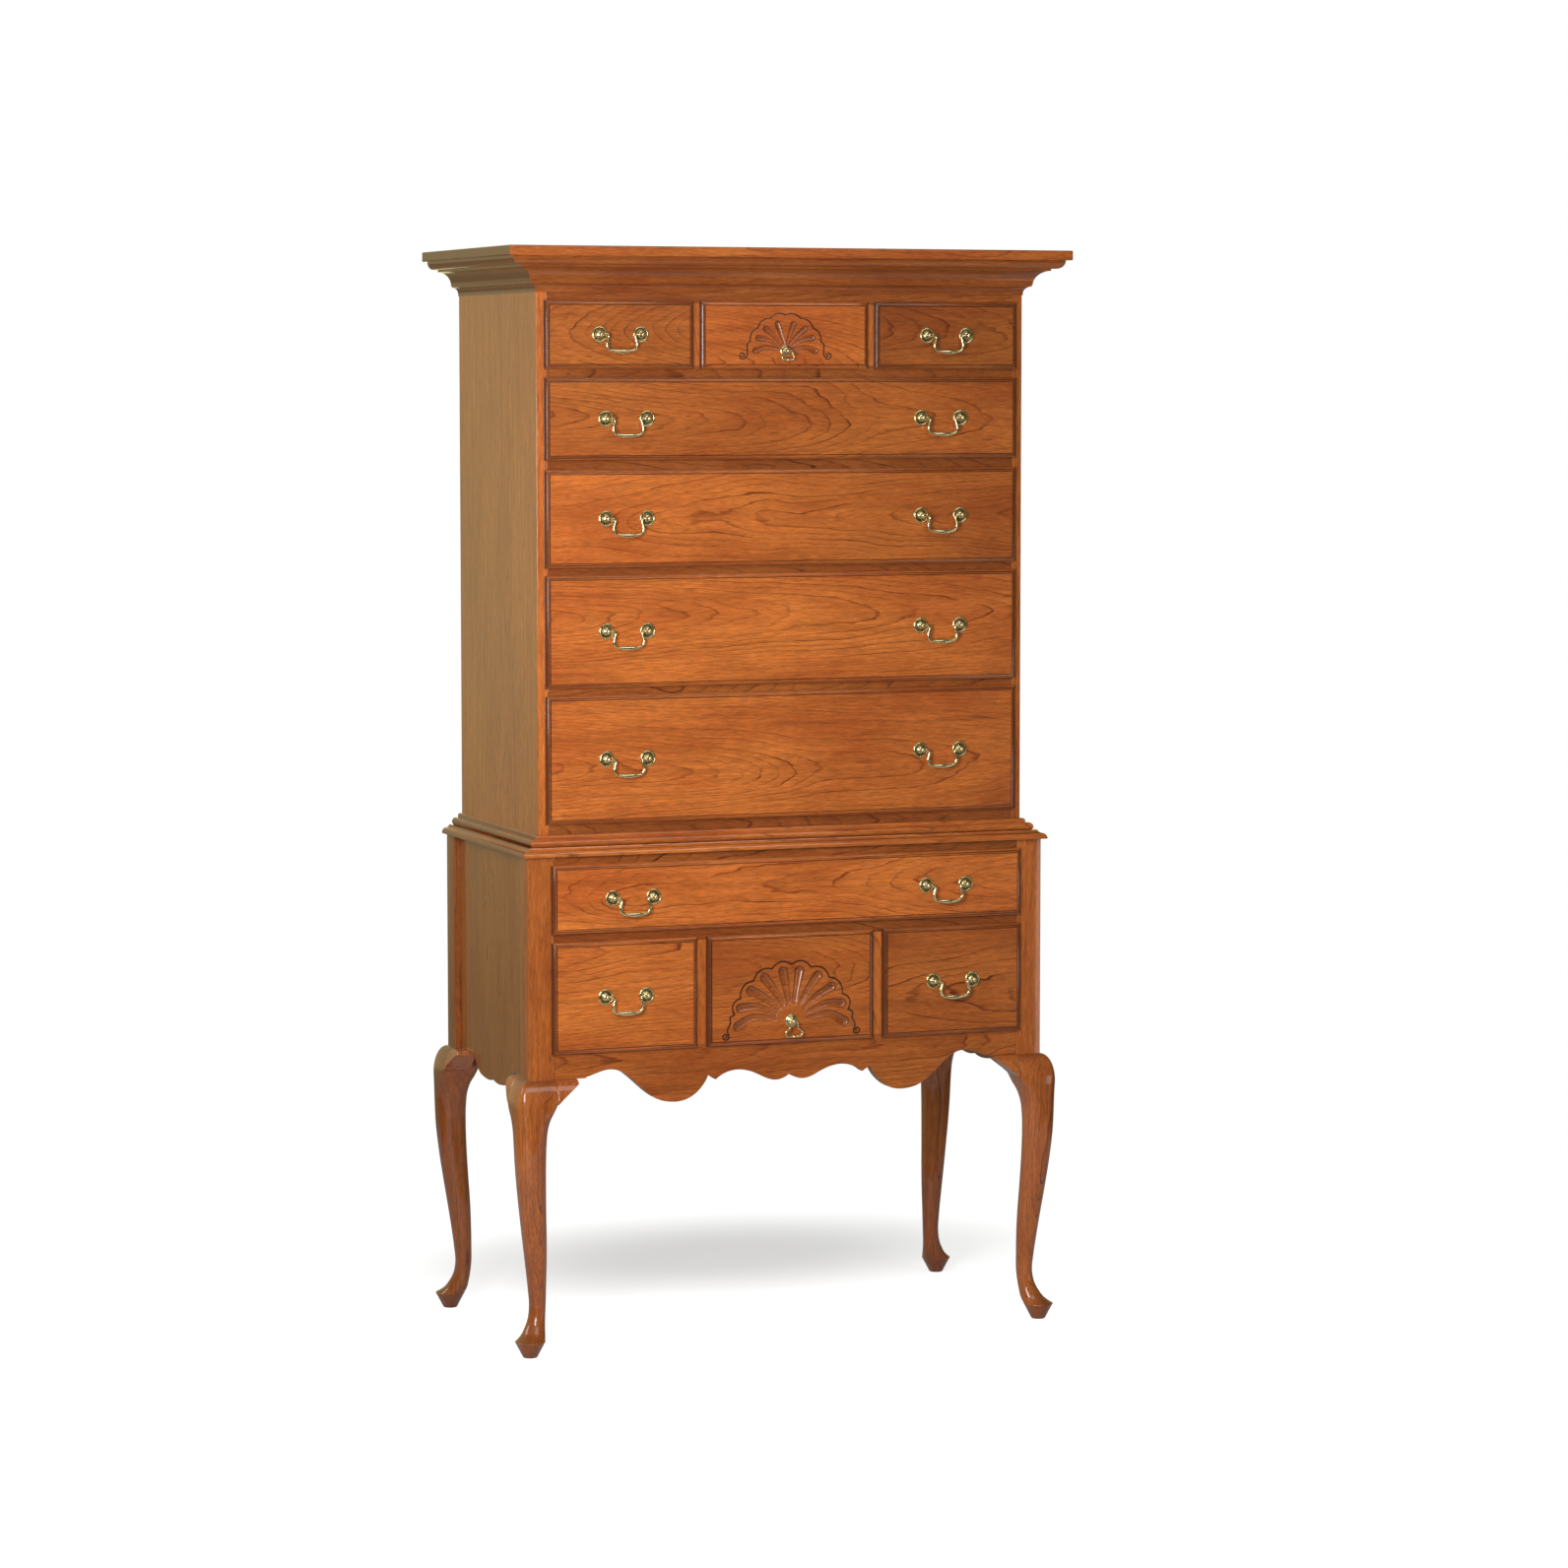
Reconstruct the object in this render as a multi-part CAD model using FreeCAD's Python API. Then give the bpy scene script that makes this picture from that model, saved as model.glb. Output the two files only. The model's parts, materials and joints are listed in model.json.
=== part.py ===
import FreeCAD, Part
import math
import os

# Highboy: a tall chest of drawers in two cases on cabriole legs.
# Millimetres. +Z up, the drawers face -Y, origin on the floor under the middle of the whole.

# ---- overall sizes; the heights add up from the floor ----
upper_width = 997.0
upper_depth = 495.0
waist_step = 32.0            # the lower case stands out this far at the front and at each side
leg_height = 531.0           # floor to the bottom of the posts
waist_board = 17.0           # moulded board on top of the lower case
cornice_board_thickness = 19.0
cornice_projection = 75.0    # cornice board beyond the upper case

# ---- boards ----
side_board = 20.0            # upper case side, also the landing for the drawer lips
rail_depth = 20.0
panel_recess = 12.0          # lower case side panel behind the posts' faces
panel_board = 16.0
back_board = 8.0
shelf_board = 15.0
runner_width = 25.0
runner_height = 16.0
guide_height = 14.0
divider_upper = 25.0
divider_lower = 31.0
middle_opening = 333.0       # width of the two shell drawers' openings

# ---- drawer rows: lip to lip heights, top row first, and the rail face under each ----
upper_front_heights = [130.0, 157.0, 186.0, 215.0, 245.0]
upper_rail_faces = [15.5, 17.5, 13.5, 13.5]
upper_top_lip = 100.0        # cornice board's top down to the first lip
upper_bottom_lip = 40.5      # last lip down to the upper case's floor
lower_front_heights = [132.0, 214.5]
lower_rail_face = 15.5
lower_top_lip = 16.5         # lower case top down to its first lip
lower_bottom_lip = 48.0      # last lip down to the bottom of the posts

# ---- drawers ----
lip_overlap = 6.0
lip_thickness = 9.0
field_rise = 1.2             # raised field inside the thumbnail edge
field_border = 10.0
thumbnail_radius = 7.5
plug_depth = 13.0            # part of the front that enters the opening
side_clearance = 1.5
running_gap = 0.3
top_clearance = 2.0
box_board = 12.0
bottom_board = 6.0
bottom_rise = 8.0
groove_depth = 5.0
groove_play = 0.2
rear_space = 32.0            # from a closed drawer to the back board

# ---- bail pulls ----
pull_boring = 82.5
pull_raise = 0.6             # posts above the middle of a front
long_drawer_pull = 323.0     # middle of a long drawer to the middle of a pull
rosette_radius = 15.5
post_reach = 12.0            # drawer face to the hinge line
post_ball = 5.2
post_stem = 3.2
post_tip = 0.8               # radius of the flat at the front of the ball
bolt_radius = 2.0
bolt_play = 0.2
bolt_end = 2.0               # bolt beyond its nut
nut_radius = 4.6
nut_thickness = 4.0
pin_radius = 1.6
pin_play = 0.05
pin_engage = 4.0             # pin inside the post's ball
pin_end_play = 0.3
bail_end_play = 0.6          # bail's shoulder to the ball
bail_wire = 2.8
bail_shoulder = 16.25        # from a post's middle to where the bail turns down
bail_flare = 8.6             # further out at the grip than at the turn
bail_drop = 32.0
bail_bend = 4.5
bail_corner = 12.0
grip_radius = 4.9
grip_end = 15.6              # plain wire between the swelling of the grip and the bail's side

# ---- ring pulls on the shell drawers; the lower one is a size larger, with a shouldered ring ----
ring_reach = 14.0
ring_ball = 4.6
ring_wire = 1.8
ring_play = 0.05
ring_top_half = 7.2
ring_bend = 2.6
ring_bead = 2.7
upper_knob_radius = 11.5
upper_ring_foot_half = 14.5
upper_ring_corner = 5.0
upper_ring_drop = 17.2
lower_knob_radius = 13.0
lower_ring_neck_half = 8.4
lower_ring_neck = 12.5       # hinge line down to where the ring flares
lower_ring_shoulder_half = 18.6
lower_ring_shoulder = 21.5   # hinge line down to the widest place
lower_ring_foot_half = 13.0
lower_ring_drop = 29.5
lower_ring_corner = 4.5
upper_shell_rise = 29.0      # drawer opening's bottom to the ring's hinge line
lower_shell_rise = 38.0

# ---- carved shells: flutes, reach of the flute ends, radius of the flute end, hub radius ----
upper_shell = (8, 62.0, 6.5, 13.0)
lower_shell = (10, 113.0, 11.0, 32.0)
flute_depth = 4.0
shell_spread = 172.0         # degrees between the first and the last flute

# ---- cabriole legs: seen from the post's outer corner, inward is positive ----
pad_rise = 30.0              # height of the pad's rim
pad_radius = 29.5
pad_sole = 13.5
pad_inset = 1.0
knee_bulge = 27.6
knee_height = 61.0           # from the post's bottom down to the widest point of the knee
# height as a share of leg_height, outer reach, inner reach, squareness (2 is a circle)
leg_stations = [
    (0.0565, 28.5, 30.5, 2.0),
    (0.0650, 22.0, 31.5, 2.0),
    (0.0772, 14.2, 33.2, 2.0),
    (0.1036, 4.4, 35.0, 2.0),
    (0.1320, -2.4, 36.6, 2.0),
    (0.1700, -6.0, 38.4, 2.0),
    (0.2450, -3.6, 39.2, 2.0),
    (0.3110, 0.6, 39.4, 2.05),
    (0.3950, 6.6, 38.8, 2.1),
    (0.5050, 14.6, 36.4, 2.15),
    (0.6200, 22.0, 34.4, 2.2),
    (0.7000, 25.8, 33.8, 2.25),
    (0.7700, 27.1, 34.2, 2.4),
    (0.8300, 27.6, 36.0, 2.7),
    (0.8700, 27.6, 40.5, 3.2),
]
knee_inner = 44.0            # inner reach of the leg at its knee; it widens towards the post
knee_block_reach = 45.0      # from the post's side
knee_block_end = 8.0
knee_block_back = 30.0

# ---- places worked out from the sizes above ----
lower_width = upper_width + 2 * waist_step
lower_depth = upper_depth + waist_step
waist_lap = side_board                   # the waist moulding reaches in as far as the upper side
bail_neck = pull_boring / 2 - bail_shoulder
bail_foot = bail_neck + bail_flare
grip_half = bail_foot - grip_end
post_size = waist_step + side_board      # the post's inner side is the side of the openings
pad_reach = pad_radius - pad_inset
total_depth = cornice_projection + upper_depth + max(pad_reach, knee_bulge)
upper_front = -total_depth / 2 + cornice_projection
case_back = upper_front + upper_depth
lower_front = upper_front - waist_step
lower_case_top = leg_height + lower_bottom_lip + sum(lower_front_heights) + lower_rail_face + lower_top_lip
upper_floor = lower_case_top + waist_board
upper_top_lip_z = upper_floor + upper_bottom_lip + sum(upper_front_heights) + sum(upper_rail_faces)
total_height = upper_top_lip_z + upper_top_lip
board_bottom = total_height - cornice_board_thickness
opening_half = upper_width / 2 - side_board
middle_half = middle_opening / 2
upper_drawer_length = upper_depth - back_board - rear_space
lower_drawer_length = lower_depth - back_board - rear_space


def box(x0, x1, y0, y1, z0, z1):
    return Part.makeBox(x1 - x0, y1 - y0, z1 - z0, FreeCAD.Vector(x0, y0, z0))


def mirrored(shape):
    return shape.mirror(FreeCAD.Vector(0, 0, 0), FreeCAD.Vector(1, 0, 0))


def pair(shape):
    return [shape, mirrored(shape)]


def save(name, solids):
    shape = solids[0] if len(solids) == 1 else Part.makeCompound(solids)
    shape.exportStep("parts/" + name + ".step")
    print(name, len(solids), round(sum(s.Volume for s in solids)))


def prism(points, place, direction):
    """Extrude a closed outline of (a, b) points; place(a, b) gives each point in space."""
    corners = [place(a, b) for a, b in points]
    return Part.Face(Part.makePolygon(corners + corners[:1])).extrude(direction)


def spline_edge(points):
    curve = Part.BSplineCurve()
    curve.interpolate(points)
    return curve.toShape()


def outline_face(pieces, place):
    """Face of an outline in pieces: a 'line' has two points, an 'arc' three, a 'curve' more."""
    edges = []
    for kind, points in pieces:
        spots = [place(a, b) for a, b in points]
        if kind == "line":
            edges.append(Part.LineSegment(spots[0], spots[1]).toShape())
        elif kind == "arc":
            edges.append(Part.Arc(*spots).toShape())
        else:
            edges.append(spline_edge(spots))
    return Part.Face(Part.Wire(edges))


def chain(start, steps):
    """Outline pieces from a start point; a step lists the points after the last one."""
    kinds = {1: "line", 2: "arc"}
    pieces = []
    last = start
    for step in steps:
        pieces.append((kinds.get(len(step), "curve"), [last] + list(step)))
        last = step[-1]
    if last != start:
        pieces.append(("line", [last, start]))
    return pieces


# ---------------------------------------------------------------- mouldings

def mitred_set(pieces, half_width, front, inner, reach):
    """A moulding round the front and both sides. Its outline is (distance out, height)."""
    low, high = -10.0, total_height + 10.0
    face = outline_face(pieces, lambda p, z: FreeCAD.Vector(-half_width - reach, front - p, z))
    front_bar = face.extrude(FreeCAD.Vector(2 * (half_width + reach), 0, 0))
    front_plan = [(-half_width + inner, front + inner), (half_width - inner, front + inner),
                  (half_width + reach, front - reach), (-half_width - reach, front - reach)]
    side_face = outline_face(pieces, lambda p, z: FreeCAD.Vector(half_width + p, front - reach, z))
    side_bar = side_face.extrude(FreeCAD.Vector(0, case_back - front + reach, 0))
    side_plan = [(half_width - inner, front + inner), (half_width + reach, front - reach),
                 (half_width + reach, case_back), (half_width - inner, case_back)]
    bars = []
    for bar, plan in ((front_bar, front_plan), (side_bar, side_plan)):
        cutter = prism(plan, lambda x, y: FreeCAD.Vector(x, y, low), FreeCAD.Vector(0, 0, high - low))
        bars.append(bar.common(cutter).Solids[0])
    return [bars[0]] + pair(bars[1])


def cornice_moulding():
    cove = 27.0
    ovolo = 14.5
    small_cove = 13.0
    fillet = 3.5
    half_turn = math.sqrt(0.5)
    top = board_bottom
    ovolo_p, ovolo_z = 50.0, top - 1.5
    cove_top = ovolo_z - ovolo - 4.0
    cove_p = ovolo_p - 7.0
    cove_foot = cove_top - cove
    foot_p = cove_p - cove - 1.5
    toe = cove_foot - 3.0 - small_cove
    outline = chain((0, toe - fillet), [
        [(foot_p - small_cove, toe - fillet)],
        [(foot_p - small_cove, toe)],
        [(foot_p - small_cove * half_turn, toe + small_cove * half_turn), (foot_p, toe + small_cove)],
        [(foot_p, cove_foot)],
        [(foot_p + 1.5, cove_foot)],
        [(cove_p - cove * half_turn, cove_foot + cove * half_turn), (cove_p, cove_top)],
        [(cove_p, cove_top + 4.0)],
        [(ovolo_p, cove_top + 4.0)],
        [(ovolo_p + ovolo * half_turn, ovolo_z - ovolo * half_turn), (ovolo_p + ovolo, ovolo_z)],
        [(ovolo_p + ovolo, top)],
        [(0, top)],
    ])
    return mitred_set(outline, upper_width / 2, upper_front, 0.0, cornice_projection)


def cornice_board():
    half = upper_width / 2 + cornice_projection
    board = box(-half, half, -total_depth / 2, case_back, board_bottom, total_height)
    soft = [edge for edge in board.Edges if edge.BoundBox.YMax < case_back - 1 or edge.BoundBox.YLength > 100]
    soft = [edge for edge in soft if edge.BoundBox.ZLength < 1]
    return [board.makeFillet(2.5, soft)]


def waist_moulding():
    z = upper_floor
    bead_p, bead_z, bead = 14.0, z + 7.0, 6.7
    bead_outline = chain((0, z), [
        [(bead_p + 4.0, z)],
        [(bead_p + bead, bead_z), (bead_p, bead_z + bead)],
        [(8.4, bead_z + bead)],
        [(8.4, z + 17.0)],
        [(7.0, z + 20.6), (3.6, z + 22.0)],
        [(0, z + 22.0)],
    ])
    under = lower_case_top
    lip = waist_step + 9.7
    edge_outline = chain((-waist_lap, under), [
        [(lip, under)],
        [(lip, under + 3.0)],
        [(lip - 2.0, under + 7.6), (lip - 6.5, under + 11.0)],
        [(lip - 12.4, under + 12.9), (lip - 15.0, z)],
        [(-waist_lap, z)],
    ])
    upper_set = mitred_set(bead_outline, upper_width / 2, upper_front, 0.0, waist_step)
    lower_set = mitred_set(edge_outline, upper_width / 2, upper_front, waist_lap, 2 * waist_step)
    return upper_set + lower_set


# ---------------------------------------------------------------- drawer rows

def rows(top_lip, heights, rail_faces):
    """Openings from the top down as (bottom, top) heights, inside the lips."""
    found = []
    lip = top_lip
    for number, height in enumerate(heights):
        found.append((lip - height + lip_overlap, lip - lip_overlap))
        lip -= height
        if number < len(rail_faces):
            lip -= rail_faces[number]
    return found


upper_rows = rows(upper_top_lip_z, upper_front_heights, upper_rail_faces)
lower_rows = rows(lower_case_top - lower_top_lip, lower_front_heights, [lower_rail_face])


def three_openings(divider):
    """Left, middle and right openings as (low x, high x)."""
    inner = middle_half + divider
    return [(-opening_half, -inner), (-middle_half, middle_half), (inner, opening_half)]


# ---------------------------------------------------------------- case work

def upper_case_sides():
    side = box(upper_width / 2 - side_board, upper_width / 2, upper_front, case_back,
               upper_floor, board_bottom)
    return pair(side)


def rail_stack(openings, levels, front):
    """Rails across the case above and between the openings, and below them if levels says how low."""
    edges = levels[:1] + [level for low, high in openings for level in (high, low)] + levels[1:]
    rails = []
    for high, low in zip(edges[0::2], edges[1::2]):
        rails.append(box(-opening_half, opening_half, front, front + rail_depth, low, high))
    return rails


def dividers(row, width, front):
    low, high = row
    return pair(box(middle_half, middle_half + width, front, front + rail_depth, low, high))


def upper_case_rails():
    rails = rail_stack(upper_rows, [board_bottom, upper_floor], upper_front)
    return rails + dividers(upper_rows[0], divider_upper, upper_front)


def lower_case_rails():
    rails = rail_stack(lower_rows, [lower_case_top], lower_front)
    return rails + dividers(lower_rows[1], divider_lower, lower_front)


def front_apron():
    """Board with a scalloped edge; its outline is drawn for one width and stretched to the case's."""
    drawn_half = 478.5
    half_profile = [
        (0, -13.0), (14, -21.0), (27, -23.5), (44, -20.5), (65, -10.5), (86, -2.5), (107, 0.5), (130, -3.5),
        (152, -16.5)]
    big_drop = [
        (167, -6.5), (176, -23.0), (190, -38.5), (206, -49.0), (224, -54.5), (242, -55.0), (262, -51.5),
        (283, -41.5), (305, -24.0), (327, -4.0), (346, 9.5), (365, 14.5), (385, 11.5), (400, 6.5),
        (414.5, 2.5)]
    stretch = opening_half / drawn_half
    top = lower_rows[1][0]
    right = [(x * stretch, leg_height + z) for x, z in half_profile]
    drop = [(x * stretch, leg_height + z) for x, z in big_drop]
    end = (opening_half, leg_height)
    pieces = []
    for side in (1, -1):
        path = [("curve", [(side * x, z) for x, z in right])]
        path.append(("line", [(side * right[-1][0], right[-1][1]), (side * drop[0][0], drop[0][1])]))
        path.append(("curve", [(side * x, z) for x, z in drop]))
        path.append(("line", [(side * drop[-1][0], drop[-1][1]), (side * drop[-1][0], leg_height)]))
        path.append(("line", [(side * drop[-1][0], leg_height), (side * end[0], leg_height)]))
        path.append(("line", [(side * end[0], leg_height), (side * end[0], top)]))
        pieces.append(path)
    left = [(kind, points[::-1]) for kind, points in pieces[1][::-1]]
    outline = pieces[0] + [("line", [(end[0], top), (-end[0], top)])] + left
    face = outline_face(outline, lambda x, z: FreeCAD.Vector(x, lower_front, z))
    return [face.extrude(FreeCAD.Vector(0, rail_depth, 0))]


def lower_case_sides():
    """Panels between the posts, with a double drop at the middle of the bottom edge."""
    outer = lower_width / 2 - panel_recess
    middle = (lower_front + case_back) / 2
    reach = lower_depth / 2 - post_size
    drawn_reach = 211.5
    drop = [(0, -34.0), (14, -37.0), (38, -38.5), (64, -36.5), (92, -30.0), (110, -16.0), (128, -4.0),
            (140, 0.0)]
    right = [(y * reach / drawn_reach, leg_height + z) for y, z in drop]
    left = [(-y, z) for y, z in right[::-1]]
    outline = [
        ("curve", left), ("curve", right),
        ("line", [right[-1], (reach, leg_height)]),
        ("line", [(reach, leg_height), (reach, lower_case_top)]),
        ("line", [(reach, lower_case_top), (-reach, lower_case_top)]),
        ("line", [(-reach, lower_case_top), (-reach, leg_height)]),
        ("line", [(-reach, leg_height), left[0]]),
    ]
    face = outline_face(outline, lambda y, z: FreeCAD.Vector(outer, middle + y, z))
    return pair(face.extrude(FreeCAD.Vector(-panel_board, 0, 0)))


# ---------------------------------------------------------------- legs

def leg_section(height, outer, inner, squareness):
    """A rounded square on the leg's diagonal: |x|^n + |y|^n = r^n about its middle."""
    radius = (outer + inner) / 2
    middle = (inner - outer) / 2
    count = 32
    points = []
    for step in range(count):
        turn = 2 * math.pi * step / count
        across, along = math.cos(turn), math.sin(turn)
        swell = (abs(across) ** squareness + abs(along) ** squareness) ** (-1 / squareness)
        points.append(FreeCAD.Vector(-middle + radius * swell * across,
                                     middle + radius * swell * along, height))
    curve = Part.BSplineCurve()
    curve.interpolate(points, PeriodicFlag=True)
    return Part.Wire(curve.toShape())


def knee_stations():
    """The knee rounds over as a quarter ellipse up to the square post."""
    found = []
    for share, squareness in ((0.12, 3.8), (0.35, 4.6), (0.6, 5.6), (0.8, 7.0), (0.92, 8.5), (1.0, 10.0)):
        height = leg_height - knee_height * (1 - share)
        bulge = knee_bulge * math.sqrt(max(0.0, 1 - share * share))
        inner = min(post_size - 0.5, knee_inner + 26.0 * share)
        found.append((height, bulge, inner, squareness))
    return found


def leg_at_right_front():
    """Leg and post of one piece; its outer corner stands at the origin, the case at -x, +y."""
    stations = [(share * leg_height, out, inn, n) for share, out, inn, n in leg_stations]
    sections = [leg_section(*station) for station in stations + knee_stations()]
    shaft = Part.makeLoft(sections, True, False)
    sole = leg_section(0.0, pad_sole - pad_inset, pad_sole + pad_inset, 2.0)
    rim = leg_section(stations[0][0], stations[0][1], stations[0][2], 2.0)
    pad = Part.makeLoft([sole, rim], True, True)
    post = box(-post_size, 0, 0, post_size, leg_height, lower_case_top)
    return shaft.fuse(pad).fuse(post).Solids[0]


def cabriole_legs():
    leg = leg_at_right_front()
    front_right = leg.copy()
    front_right.translate(FreeCAD.Vector(lower_width / 2, lower_front, 0))
    back_right = leg.mirror(FreeCAD.Vector(0, 0, 0), FreeCAD.Vector(0, 1, 0))
    back_right.translate(FreeCAD.Vector(lower_width / 2, case_back, 0))
    return pair(front_right) + pair(back_right)


def knee_block():
    """Bracket beside a knee: the knee's bulge carried sideways, cut away in a hollow curve.

    Made for the right front post, running towards -x; the post's outer corner is the origin.
    """
    bulge = [(knee_bulge * math.sqrt(max(0.0, 1 - s * s)), leg_height - knee_height * (1 - s))
             for s in (0.0, 0.2, 0.4, 0.6, 0.75, 0.87, 0.95, 1.0)]
    side_outline = [
        ("curve", bulge),
        ("line", [bulge[-1], (-knee_block_back, leg_height)]),
        ("line", [(-knee_block_back, leg_height), (-knee_block_back, bulge[0][1])]),
        ("line", [(-knee_block_back, bulge[0][1]), bulge[0]]),
    ]
    face = outline_face(side_outline, lambda b, z: FreeCAD.Vector(-post_size, -b, z))
    bar = face.extrude(FreeCAD.Vector(-knee_block_reach, 0, 0))
    outer = post_size + knee_block_reach
    curve = [(outer, leg_height - knee_block_end), (outer - knee_block_reach / 3, leg_height - 19.5),
             (post_size + 14.0, leg_height - 32.0), (post_size, leg_height - 45.0)]
    front_outline = [
        ("curve", curve),
        ("line", [curve[-1], (post_size, leg_height)]),
        ("line", [(post_size, leg_height), (outer, leg_height)]),
        ("line", [(outer, leg_height), curve[0]]),
    ]
    wide = 2 * post_size
    cutter = outline_face(front_outline, lambda x, z: FreeCAD.Vector(-x, -wide, z))
    return bar.common(cutter.extrude(FreeCAD.Vector(0, 2 * wide, 0))).Solids[0]


def knee_blocks():
    block = knee_block()
    front = block.copy()
    front.translate(FreeCAD.Vector(lower_width / 2, lower_front, 0))
    # mirrored in the leg's diagonal, the block runs back along the side of the case
    side = block.mirror(FreeCAD.Vector(0, 0, 0), FreeCAD.Vector(1, 1, 0))
    front_side = side.copy()
    front_side.translate(FreeCAD.Vector(lower_width / 2, lower_front, 0))
    back_side = side.mirror(FreeCAD.Vector(0, 0, 0), FreeCAD.Vector(0, 1, 0))
    back_side.translate(FreeCAD.Vector(lower_width / 2, case_back, 0))
    return pair(front) + pair(front_side) + pair(back_side)


# ---------------------------------------------------------------- inside woodwork

def side_runners(row, inner_face, front):
    """Strips that carry a drawer along both case sides, top flush with the opening's bottom."""
    low = row[0]
    runner = box(opening_half - runner_width, inner_face, front + rail_depth, case_back - back_board,
                 low - runner_height, low)
    return pair(runner)


def middle_runners(row, divider, front):
    """Runners behind the dividers, each with a guide strip standing on it."""
    low = row[0]
    x0, x1 = middle_half, middle_half + divider
    back = case_back - back_board
    runner = box(x0 - runner_width, x1 + runner_width, front + rail_depth, back, low - runner_height, low)
    guide = box(x0, x1, front + rail_depth, back, low, low + guide_height)
    return pair(runner) + pair(guide)


def upper_inner_boards():
    inside = opening_half
    back = case_back - back_board
    boards = [
        box(-inside, inside, back, case_back, upper_floor, board_bottom),
        box(-inside, inside, upper_front + rail_depth, back, board_bottom - shelf_board, board_bottom),
        box(-inside, inside, upper_front + rail_depth, back, upper_floor, upper_floor + shelf_board),
    ]
    for row in upper_rows:
        boards += side_runners(row, opening_half, upper_front)
    return boards + middle_runners(upper_rows[0], divider_upper, upper_front)


def lower_side_guides(row):
    """Strips between the posts that fill the panel's recess beside the drawer and its runner."""
    inner_face = lower_width / 2 - panel_recess - panel_board
    y0 = lower_front + post_size
    y1 = case_back - post_size
    low = row[0]
    return pair(box(opening_half, inner_face, y0, y1, low - runner_height, low + guide_height))


def lower_inner_boards():
    inside = upper_width / 2 - waist_lap
    back = case_back - back_board
    boards = [
        box(-opening_half, opening_half, back, case_back, leg_height, lower_case_top),
        box(-inside, inside, upper_front + waist_lap, case_back, lower_case_top, upper_floor),
    ]
    for row in lower_rows:
        boards += side_runners(row, opening_half, lower_front)
        boards += lower_side_guides(row)
    return boards + middle_runners(lower_rows[1], divider_lower, lower_front)


# ---------------------------------------------------------------- brass

def turned(pieces, x, y, z):
    """A turned piece on an axis along -Y; its outline is (radius, reach out of the face)."""
    face = outline_face(pieces, lambda radius, reach: FreeCAD.Vector(radius, -reach, 0))
    piece = face.revolve(FreeCAD.Vector(0, 0, 0), FreeCAD.Vector(0, 1, 0), 360)
    piece.translate(FreeCAD.Vector(x, y, z))
    return piece


def hex_nut(x, y, z):
    corners = [FreeCAD.Vector(x + nut_radius * math.cos(math.radians(60 * k)), y,
                              z + nut_radius * math.sin(math.radians(60 * k))) for k in range(7)]
    nut = Part.Face(Part.makePolygon(corners)).extrude(FreeCAD.Vector(0, nut_thickness, 0))
    bore = Part.makeCylinder(bolt_radius, nut_thickness, FreeCAD.Vector(x, y, z), FreeCAD.Vector(0, 1, 0))
    return nut.cut(bore).Solids[0]


def post_outline(inside, ball, reach):
    """Bolt from inside the drawer, stem through the rosette, and the ball at the hinge line."""
    neck = reach - math.sqrt(ball ** 2 - post_stem ** 2)
    tip = reach + math.sqrt(ball ** 2 - post_tip ** 2)
    return chain((0, -inside), [
        [(bolt_radius, -inside)],
        [(bolt_radius, 0)],
        [(post_stem, 0)],
        [(post_stem, neck)],
        [(ball, reach), (post_tip, tip)],
        [(0, tip)],
    ])


def mount(x, z, face, back, plate, ball, reach, pin_hole):
    """Rosette, post with its bolt, and nut."""
    bore = post_stem + bolt_play
    rosette = turned(chain((bore, 0), [[spot] for spot in plate] + [[(bore, plate[-1][1])]]), x, face, z)
    inside = back - face + nut_thickness + bolt_end
    post = turned(post_outline(inside, ball, reach), x, face, z).cut(pin_hole).Solids[0]
    return [rosette, post, hex_nut(x, back, z)]


bail_plate = [(rosette_radius, 0), (rosette_radius, 1.4), (rosette_radius - 0.9, 2.6), (rosette_radius - 2.1, 3.0),
              (rosette_radius - 3.3, 2.6), (rosette_radius - 3.9, 1.6), (9.4, 1.2), (7.4, 1.6), (6.4, 2.8), (5.0, 3.6)]


def knob_plate(radius):
    """Outline of a ring pull's plate, from its rim to the stem."""
    return [(radius, 0), (radius, 1.4), (radius - 0.9, 2.6), (radius - 2.3, 3.2), (radius - 3.3, 3.0), (7.0, 4.6),
            (5.4, 5.8)]


def bail_mounts(x, z, face, back):
    found = []
    for side in (-1, 1):
        centre = x + side * pull_boring / 2
        mouth = centre - side * (post_ball + bail_end_play)
        hole = Part.makeCylinder(pin_radius + pin_play, bail_end_play + pin_engage + pin_end_play,
                                 FreeCAD.Vector(mouth, face - post_reach, z), FreeCAD.Vector(side, 0, 0))
        found += mount(centre, z, face, back, bail_plate, post_ball, post_reach, hole)
    return found


def ring_mount(x, z, face, back, plate_radius):
    hole = Part.makeCylinder(ring_wire + ring_play, 4 * ring_ball,
                             FreeCAD.Vector(x - 2 * ring_ball, face - ring_reach, z), FreeCAD.Vector(1, 0, 0))
    return mount(x, z, face, back, knob_plate(plate_radius), ring_ball, ring_reach, hole)


def rounded_path(corners, radii):
    """Wire of straight runs joined by tangent arcs at the inner corners of a flat path."""
    edges = []
    last = corners[0]
    for before, here, after, radius in zip(corners, corners[1:], corners[2:], radii[1:]):
        back = (before - here).normalize()
        onward = (after - here).normalize()
        half = back.getAngle(onward) / 2
        setback = radius / math.tan(half)
        crown = here + (back + onward).normalize() * (radius / math.sin(half) - radius)
        start, end = here + back * setback, here + onward * setback
        edges.append(Part.LineSegment(last, start).toShape())
        edges.append(Part.Arc(start, crown, end).toShape())
        last = end
    edges.append(Part.LineSegment(last, corners[-1]).toShape())
    return Part.Wire(edges)


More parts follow.
